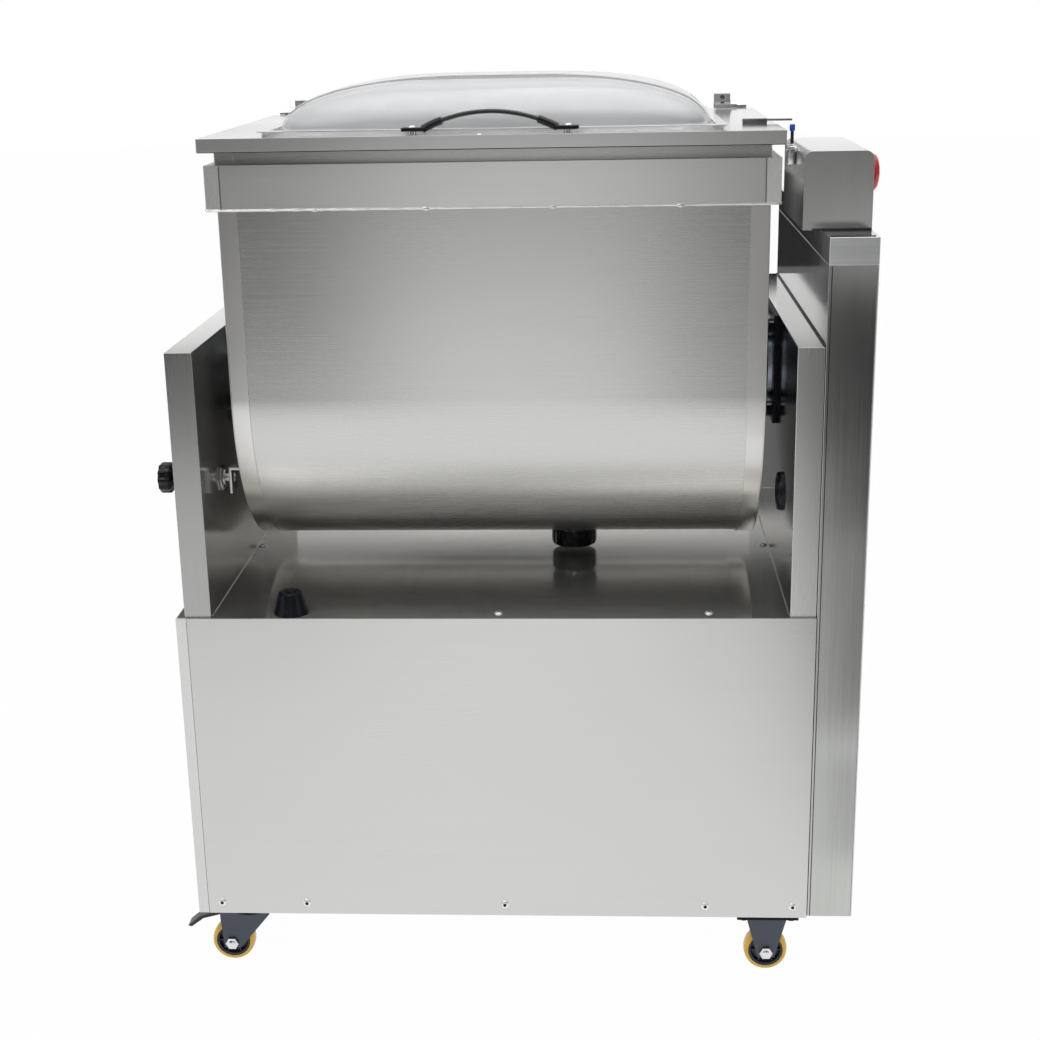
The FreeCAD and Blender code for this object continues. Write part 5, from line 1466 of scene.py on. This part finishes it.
@dataclass
class Trough:
    """The tilting trough with its rim, seals and hinge brackets."""

    sheet_round: float = 0.0006
    end_band: float = 0.020
    rim_end: float = 0.016
    weld_radius: float = 0.0013
    tacks: tuple[float, ...] = (0.115, 0.232, 0.365, 0.497)
    flutes: tuple[int, float, float] = (18, 0.0009, 0.0265)
    end_inset: float = 0.014
    lap_half: float = 0.0006
    seal_round: float = 0.0004
    journal_round: float = 0.0005

    def build(self) -> None:
        """Make the weld and the drain's cap."""
        self.weld()
        self.cap()

    def weld(self) -> None:
        """The bead along the rim's lower edge, with a few thicker tacks."""
        low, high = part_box("trough_rim")
        path = [
            (low.x, low.y, low.z),
            (high.x, low.y, low.z),
            (high.x, high.y, low.z),
            (low.x, high.y, low.z),
            (low.x, low.y, low.z),
        ]
        bead("rim_weld", path, self.weld_radius, "trough", WELD_STEEL, 3)
        # A thin dark strip at the inner edge of each end strip of the rim: a lap seam, its dark
        # colour painted shade beside the strip.
        laps = Shape()
        for x in (low.x + self.rim_end, high.x - self.rim_end):
            laps.block(
                (x - self.lap_half, low.y - 0.00025, low.z + 0.001),
                (x + self.lap_half, low.y + 0.001, high.z - 0.0006),
            )
        laps.piece("rim_lap_seams_and_shade", "trough", OILED_STEEL)
        shape = Shape()
        for number, along in enumerate(self.tacks):
            spot = Matrix.Translation((low.x + along, low.y, low.z - 0.0004))
            size = 0.0021 + 0.0004 * (number % 2)
            stretch = Matrix.Diagonal((1.9, 0.8, 1.0, 1.0))
            place = spot @ stretch
            bmesh.ops.create_icosphere(shape.mesh, subdivisions=2, radius=size, matrix=place)
        shape.piece("rim_tacks", "trough", WELD_STEEL)

    def cap(self) -> None:
        """The drain's fluted cap."""
        low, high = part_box("drain_cap")
        profile = (
            (0, 0),
            (0.0240, 0),
            (0.0262, 0.0007),
            (0.0274, 0.0026),
            (0.0275, 0.0150),
            (0.0270, 0.0188),
            (0.0258, 0.0200),
            (0.0196, 0.0200),
            (0.0184, 0.0190),
            (0.0184, 0.0040),
            (0, 0.0040),
        )
        middle = (low + high) / 2
        shape = Shape().lathe(profile, (middle.x, middle.y, low.z), (0, 0, 1), 144, self.flutes)
        shape.piece("drain_cap_fluted", "drain_plug", BLACK_GLOSS, "drain_cap")

    def dress(self) -> None:
        """Finish every solid that tilts with the trough."""
        low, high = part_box("left_trough_end")[0].x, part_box("right_trough_end")[1].x
        left, right = low + self.end_inset + self.end_band, high - self.end_band
        rim_low, rim_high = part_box("trough_rim")
        softened(
            "trough_shell",
            TROUGH_SHEET,
            self.sheet_round,
            BAND_SHEET,
            lambda face: face.calc_center_median().z < rim_low.z
            and not left < face.calc_center_median().x < right,
            [(rim_low, (0, 0, 1))],
        )
        ends = {"left_trough_end": BAND_SHEET, "right_trough_end": BAND_SHEET}
        soften_each(ends, self.sheet_round)
        # The rim's end strips take the lighter sheet: painted highlight.
        near, far = rim_low.x + self.rim_end, rim_high.x - self.rim_end
        softened(
            "trough_rim",
            RIM_SHEET,
            self.sheet_round,
            RIM_END_HIGHLIGHT_SHEET,
            lambda face: not near < face.calc_center_median().x < far,
            [((near, 0, 0), (1, 0, 0)), ((far, 0, 0), (1, 0, 0))],
        )
        softened("shaft_seals", RUBBER, self.seal_round)
        journals = {
            "hinge_brackets": BRIGHT_STEEL,
            "left_trunnion": DARK_ZINC,
            "right_trunnion": DARK_ZINC,
        }
        soften_each(journals, self.journal_round)


@dataclass
class Mixing:
    """The shaft, its paddles and its chain wheel."""

    clearance: float = 0.0002
    chamfer: float = 0.0015
    paddle_round: float = 0.0008
    tooth_round: float = 0.0003

    def build(self) -> None:
        """Make the turned shaft."""
        low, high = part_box("agitator_shaft")
        middle = (low + high) / 2
        radius = (high.z - low.z) / 2 - self.clearance
        ends = (low.x, middle.y, middle.z), (high.x, middle.y, middle.z)
        shape = Shape().rod(*ends, radius, self.chamfer, 96)
        shape.piece("agitator_shaft_turned", "agitator", BRIGHT_STEEL, "agitator_shaft")

    def dress(self) -> None:
        """Finish the agitator."""
        softened("agitator_paddles", BRIGHT_STEEL, self.paddle_round)
        softened("driven_sprocket", OILED_STEEL, self.tooth_round)


@dataclass
class Lid:
    """The lid with its clear dome, handle and striker."""

    sheet_round: float = 0.0008
    flange: float = 0.012
    wall: float = 0.003
    squareness: float = 7.0
    rows: int = 24
    span: float = 0.140
    rise: float = 0.017
    tab: float = 0.022
    lap: float = 0.004
    strap: tuple[float, float] = (0.0048, 0.0120)
    cuff: tuple[float, float] = (0.0084, 0.0146)
    cuff_from: float = 19.0
    small_head: tuple[float, float] = (0.0028, 0.0012)
    clamp_round: float = 0.0004
    seal_round: float = 0.0006

    def build(self) -> None:
        """Make the dome, the handle and the small hardware."""
        self.dome()
        self.handle()
        self.handle_feet()
        self.hinge_screws()
        self.striker()
        self.trim()

    def trim(self) -> None:
        """The thin rubber edging round the foot of the lid's skirt."""
        low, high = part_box("lid_frame")
        foot, deep, tall = low.z, 0.0015, 0.0009
        rear = high.y - 0.016
        shape = Shape().block(
            (low.x + 0.0003, low.y + 0.0003, foot - tall), (high.x - 0.0003, low.y + deep, foot)
        )
        for x in (low.x + 0.0003, high.x - deep):
            shape.block((x, low.y + deep, foot - tall), (x + deep - 0.0003, rear, foot))
        shape.piece("lid_edging", "lid", RUBBER)

    def dome(self) -> None:
        """The clear bulge and its flange, one sheet that is then thickened inwards."""
        low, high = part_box("dome")
        middle = (low + high) / 2
        half_x = (high.x - low.x) / 2 - self.flange
        half_y = (high.y - low.y) / 2 - self.flange
        foot = low.z + self.wall
        height = high.z - foot
        shape = Shape()
        rims = [(half_x + 0.0015, half_y + 0.0015, foot), (half_x, half_y, foot + 0.0015)]
        for row in range(1, self.rows + 1):
            turn = math.pi / 2 * row / self.rows
            share = max(0.002, math.cos(turn)) ** (2 / 3)
            rims.append((half_x * share, half_y * share, foot + height * math.sin(turn)))
        made = bmesh.ops.create_circle(shape.mesh, segments=160, radius=1.0)
        ways = {vertex: tuple(vertex.co.xy) for vertex in made["verts"]}
        self.spread(ways, middle, (half_x + self.flange, half_y + self.flange, foot), 24.0)
        edges = shape.mesh.edges[:]
        for rim in rims:
            grown = bmesh.ops.extrude_edge_only(shape.mesh, edges=edges)["geom"]
            edges = [part for part in grown if isinstance(part, bmesh.types.BMEdge)]
            edges = [edge for edge in edges if edge.is_boundary]
            ahead = {}
            for vertex in (part for part in grown if isinstance(part, bmesh.types.BMVert)):
                others = (edge.other_vert(vertex) for edge in vertex.link_edges)
                ahead[vertex] = next(ways[other] for other in others if other in ways)
            ways = ahead
            self.spread(ways, middle, rim, self.squareness)
        bmesh.ops.holes_fill(shape.mesh, edges=edges)
        bmesh.ops.recalc_face_normals(shape.mesh, faces=shape.mesh.faces[:])
        top = max(shape.mesh.faces, key=lambda face: face.calc_center_median().z)
        if top.normal.z < 0:
            bmesh.ops.reverse_faces(shape.mesh, faces=shape.mesh.faces[:])
        bmesh.ops.solidify(shape.mesh, geom=shape.mesh.faces[:], thickness=self.wall)
        thing = shape.piece("dome_blown", "lid", ACRYLIC, "dome")
        thing.visible_shadow = False

    def spread(
        self, ways: dict[bmesh.types.BMVert, Point], middle: Vector, rim: Point, squareness: float
    ) -> None:
        """Set a ring of vertices out on a rounded rectangle.

        Args:
            ways: each vertex, with its own direction on a unit circle.
            middle: the ring's middle.
            rim: the ring's half length, half width and level.
            squareness: how square it is; two is round.
        """
        for vertex, way in ways.items():
            x, y = (math.copysign(abs(part) ** (2 / squareness), part) for part in way)
            vertex.co = (middle.x + rim[0] * x, middle.y + rim[1] * y, rim[2])

    def handle(self) -> None:
        """The bow: a flat strap with a cuff and a tab at each end."""
        low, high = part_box("handle")
        middle = (low + high) / 2
        tab_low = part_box("handle_feet")[0].z + 0.003
        radius = (self.span**2 / 4 + self.rise**2) / (2 * self.rise)
        centre = (middle.x, middle.y, tab_low + 0.002 + self.rise - radius)
        half = math.degrees(math.asin(self.span / 2 / radius))
        shape = Shape().bow(centre, radius, self.strap, -half, half)
        for start, end in ((-half, -self.cuff_from), (self.cuff_from, half)):
            shape.bow(centre, radius, self.cuff, start, end)
        for side in (-1, 1):
            near = middle.x + side * (self.span / 2 - self.lap)
            far = middle.x + side * (self.span / 2 + self.tab)
            ends = sorted((near, far))
            shape.block(
                (ends[0], low.y, tab_low), (ends[1], high.y, tab_low + 0.004), 0.0013, 3
            )
        shape.piece("handle_strap", "lid", BLACK_GLOSS, "handle")

    def handle_feet(self) -> None:
        """The posts under the handle's tabs, and the screws on top."""
        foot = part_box("handle_feet")[0].z
        shape = Shape()
        for low, high in islands("handle_feet"):
            middle = (low + high) / 2
            if low.z < foot + 0.002:
                shape.rod((middle.x, middle.y, low.z), (middle.x, middle.y, high.z), 0.005)
            else:
                shape.screw((middle.x, middle.y, low.z), (0, 0, 1), 0.004, 0.002)
        low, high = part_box("handle_feet")
        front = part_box("lid_frame")[0].y
        at = ((low.x + high.x) / 2 - 0.01, front + 0.006, low.z)
        shape.screw(at, (0, 0, 1), *self.small_head)
        # The dark fill in each screw's socket is painted shade.
        shape.piece("handle_hardware", "lid", BRIGHT_STEEL, "handle_feet", second=OILED_STEEL)

    def hinge_screws(self) -> None:
        """Two screws in the front of each hinge post."""
        low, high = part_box("lid_frame")
        brackets = islands("hinge_brackets")
        shape = Shape()
        for x in (brackets[0][1].x - 0.0100, brackets[-1][0].x + 0.0100):
            for drop in (0.0045, 0.0125):
                shape.screw((x, high.y - 0.012, high.z - drop), (0, -1, 0), *self.small_head)
        shape.piece("hinge_screws", "lid", DARK_ZINC, second=OILED_STEEL)

    def striker(self) -> None:
        """The dark strip on the lid and the thin rod that reaches over the sensor."""
        low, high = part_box("lid_striker")
        middle = (low + high) / 2
        shape = Shape().block((low.x, low.y, low.z), (low.x + 0.026, high.y, high.z), 0.0006)
        tip = (high.x - 0.0005, middle.y, high.z - 0.0014)
        shape.rod((low.x + 0.022, middle.y, high.z - 0.0014), tip, 0.0012, 0.0002, 16)
        shape.piece("striker_rod", "lid", OILED_STEEL, "lid_striker")

    def dress(self) -> None:
        """Finish the lid."""
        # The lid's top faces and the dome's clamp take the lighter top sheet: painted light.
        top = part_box("lid_striker")[0].z - 0.001
        softened("lid_frame", SHEET_ACROSS, self.sheet_round, TOP_PAINTED_LIGHT_SHEET, lies_up(top))
        softened("dome_clamp", TOP_PAINTED_LIGHT_SHEET, self.clamp_round)
        softened("lid_seal", RUBBER, self.seal_round)


@dataclass
class TiltLock:
    """The pin that holds the trough upright, and its knob."""

    nut: float = 0.026
    nut_height: float = 0.0045
    nut_out: float = 0.0065
    flutes: tuple[int, float, float] = (10, 0.0016, 0.0150)
    pin_round: float = 0.0003

    def build(self) -> None:
        """Make the knob and the nut."""
        low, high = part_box("lock_knob")
        middle = (low + high) / 2
        profile = (
            (0, 0),
            (0.0105, 0),
            (0.0105, 0.0056),
            (0.0160, 0.0072),
            (0.0175, 0.0092),
            (0.0175, 0.0188),
            (0.0160, 0.0212),
            (0.0110, 0.0220),
            (0, 0.0216),
        )
        at = (high.x, middle.y, middle.z)
        shape = Shape().lathe(profile, at, (-1, 0, 0), 120, self.flutes)
        shape.piece("lock_knob_fluted", "tilt_lock", BLACK_GLOSS, "lock_knob")
        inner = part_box("left_cheek")[1].x
        at = (inner - self.nut_out, middle.y, middle.z)
        nuts = Shape().hexagon(at, (1, 0, 0), self.nut, self.nut_height)
        nuts.piece("lock_nut", "cabinet", BRIGHT_STEEL)

    def dress(self) -> None:
        """Finish the pin."""
        softened("lock_pin", BRIGHT_STEEL, self.pin_round)


@dataclass
class Casters:
    """Two swivel casters with brakes and two fixed ones."""

    nut: float = 0.0134
    nut_height: float = 0.0042
    fork_half: float = 0.0135
    ribs: int = 6
    plate_size: tuple[float, float] = (0.070, 0.052)
    plate_gauge: float = 0.003
    pad_height: float = 0.0030
    bolt_in: float = 0.008
    bolt: tuple[float, float] = (0.009, 0.0028)
    ring_gap: float = 0.0002
    ring_lip: float = 0.0006
    mount_top: float = 0.0035
    fork_round: float = 0.0005
    pedal_round: float = 0.001

    def build(self) -> None:
        """Make the wheels, the axle nuts and the dust rings."""
        for corner in ("front_left", "rear_left", "front_right", "rear_right"):
            self.wheel(corner)
            self.nuts(corner)
            self.pad(corner)
            if corner.endswith("left"):
                self.ring(corner)

    def wheel(self, corner: str) -> None:
        """A rounded tread on a ribbed hub.

        Args:
            corner: the caster's place, such as front_left.
        """
        low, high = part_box(corner + "_tyre")
        middle = (low + high) / 2
        at = (middle.x, low.y, middle.z)
        tread = (
            (0.0200, 0.0012),
            (0.0225, 0.0008),
            (0.0241, 0.0024),
            (0.0249, 0.0062),
            (0.0250, 0.0100),
            (0.0249, 0.0138),
            (0.0241, 0.0176),
            (0.0225, 0.0192),
            (0.0200, 0.0188),
            (0.0200, 0.0012),
        )
        body = corner + "_wheel"
        shape = Shape().lathe(tread, at, (0, 1, 0), 72)
        shape.piece(corner + "_tread", body, TREAD, corner + "_tyre")
        bore = 0.0041
        web = (
            (bore, 0.0010),
            (0.0078, 0.0010),
            (0.0084, 0.0062),
            (0.0158, 0.0066),
            (0.0172, 0.0020),
            (0.0200, 0.0016),
            (0.0200, 0.0184),
            (0.0172, 0.0180),
            (0.0158, 0.0134),
            (0.0084, 0.0138),
            (0.0078, 0.0190),
            (bore, 0.0190),
            (bore, 0.0010),
        )
        shape = Shape().lathe(web, at, (0, 1, 0), 60)
        for rib in range(self.ribs):
            part = Shape().block((0.0074, 0.0030, -0.0008), (0.0168, 0.0170, 0.0008), 0.0003)
            part.turn(Matrix.Rotation(math.tau * rib / self.ribs, 4, "Y"))
            part.shift(at)
            shape.take_in(part)
        shape.piece(corner + "_web", body, NYLON, corner + "_hub")

    def pad(self, corner: str) -> None:
        """The black pad under a caster's plate, with its four bolts.

        Args:
            corner: the caster's place, such as front_left.
        """
        low, high = self.plate(corner)
        foot = low.z - self.pad_height
        shape = Shape().block((low.x, low.y, foot), (high.x, high.y, low.z), 0.0006)
        for x in (low.x + self.bolt_in, high.x - self.bolt_in):
            for y in (low.y + self.bolt_in, high.y - self.bolt_in):
                shape.hexagon((x, y, foot), (0, 0, -1), *self.bolt)
        shape.piece(corner + "_pad", "cabinet", BLACK_ZINC)

    def plate(self, corner: str) -> tuple[Vector, Vector]:
        """The box of a caster's mounting plate, with its underside as the low corner.

        Args:
            corner: the caster's place, such as front_left.

        Returns:
            The low and the high corner.
        """
        place = 2 * corner.endswith("right") + corner.startswith("rear")
        low, high = islands("caster_mounts")[place]
        middle = (low + high) / 2
        half = Vector((self.plate_size[0] / 2, self.plate_size[1] / 2, 0))
        foot = Vector((middle.x, middle.y, high.z - self.plate_gauge))
        return foot - half, Vector((middle.x, middle.y, high.z)) + half

    def nuts(self, corner: str) -> None:
        """The bright nuts on the axle's ends.

        Args:
            corner: the caster's place, such as front_left.
        """
        low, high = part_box(corner + "_tyre")
        middle = (low + high) / 2
        body = corner + "_caster" if corner.endswith("left") else "cabinet"
        shape = Shape()
        for side in (-1, 1):
            at = (middle.x, middle.y + side * self.fork_half, middle.z)
            shape.hexagon(at, (0, side, 0), self.nut, self.nut_height)
            cap = Vector(at) + Vector((0, side * self.nut_height, 0))
            end = ((0.0046, -0.001), (0.0046, 0.0006), (0.003, 0.0014), (0, 0.0016))
            shape.lathe(end, cap, (0, side, 0), 24)
        shape.piece(corner + "_nuts", body, BRIGHT_STEEL)

    def ring(self, corner: str) -> None:
        """The yellow dust ring of a swivel race, over its black shield.

        Args:
            corner: the caster's place, such as front_left.
        """
        low, high = islands("caster_mounts")[0 if corner.startswith("front") else 1]
        centre = (low + high) / 2
        top = self.plate(corner)[0].z - self.pad_height - self.ring_gap
        for name, inner, outer, head, foot, finish in (
            ("_dust_ring", 0.0212, 0.0245, 0.0, -0.0029, TREAD),
            ("_race_shield", 0.0226, 0.0252, -0.0031, -0.0056, BLACK_ZINC),
        ):
            profile = (
                (inner, head),
                (outer - self.ring_lip, head),
                (outer, head - self.ring_lip),
                (outer, foot + self.ring_lip),
                (outer - self.ring_lip, foot),
                (inner, foot),
                (inner, head),
            )
            shape = Shape().lathe(profile, (centre.x, centre.y, top), (0, 0, 1), 48)
            shape.piece(corner + name, corner + "_caster", finish)

    def dress(self) -> None:
        """Finish the forks, the mounts and the pedals."""
        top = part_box("caster_mounts")[1].z - self.mount_top
        softened(
            "caster_mounts",
            DARK_ZINC,
            self.fork_round,
            BLACK_ZINC,
            lambda face: face.calc_center_median().z > top,
        )
        for corner in ("front_left", "rear_left"):
            softened(corner + "_fork", DARK_ZINC, self.fork_round)
            softened(corner + "_pedal", BLACK_PLASTIC, self.pedal_round)


def main() -> None:
    """Build the studio, then each sub-assembly in turn."""
    logging.basicConfig(level=logging.INFO)
    Studio().build()
    for assembly in (Cabinet(), Column(), Trough(), Mixing(), Lid(), TiltLock(), Casters()):
        assembly.build()
        assembly.dress()


if __name__ == "__main__":
    main()
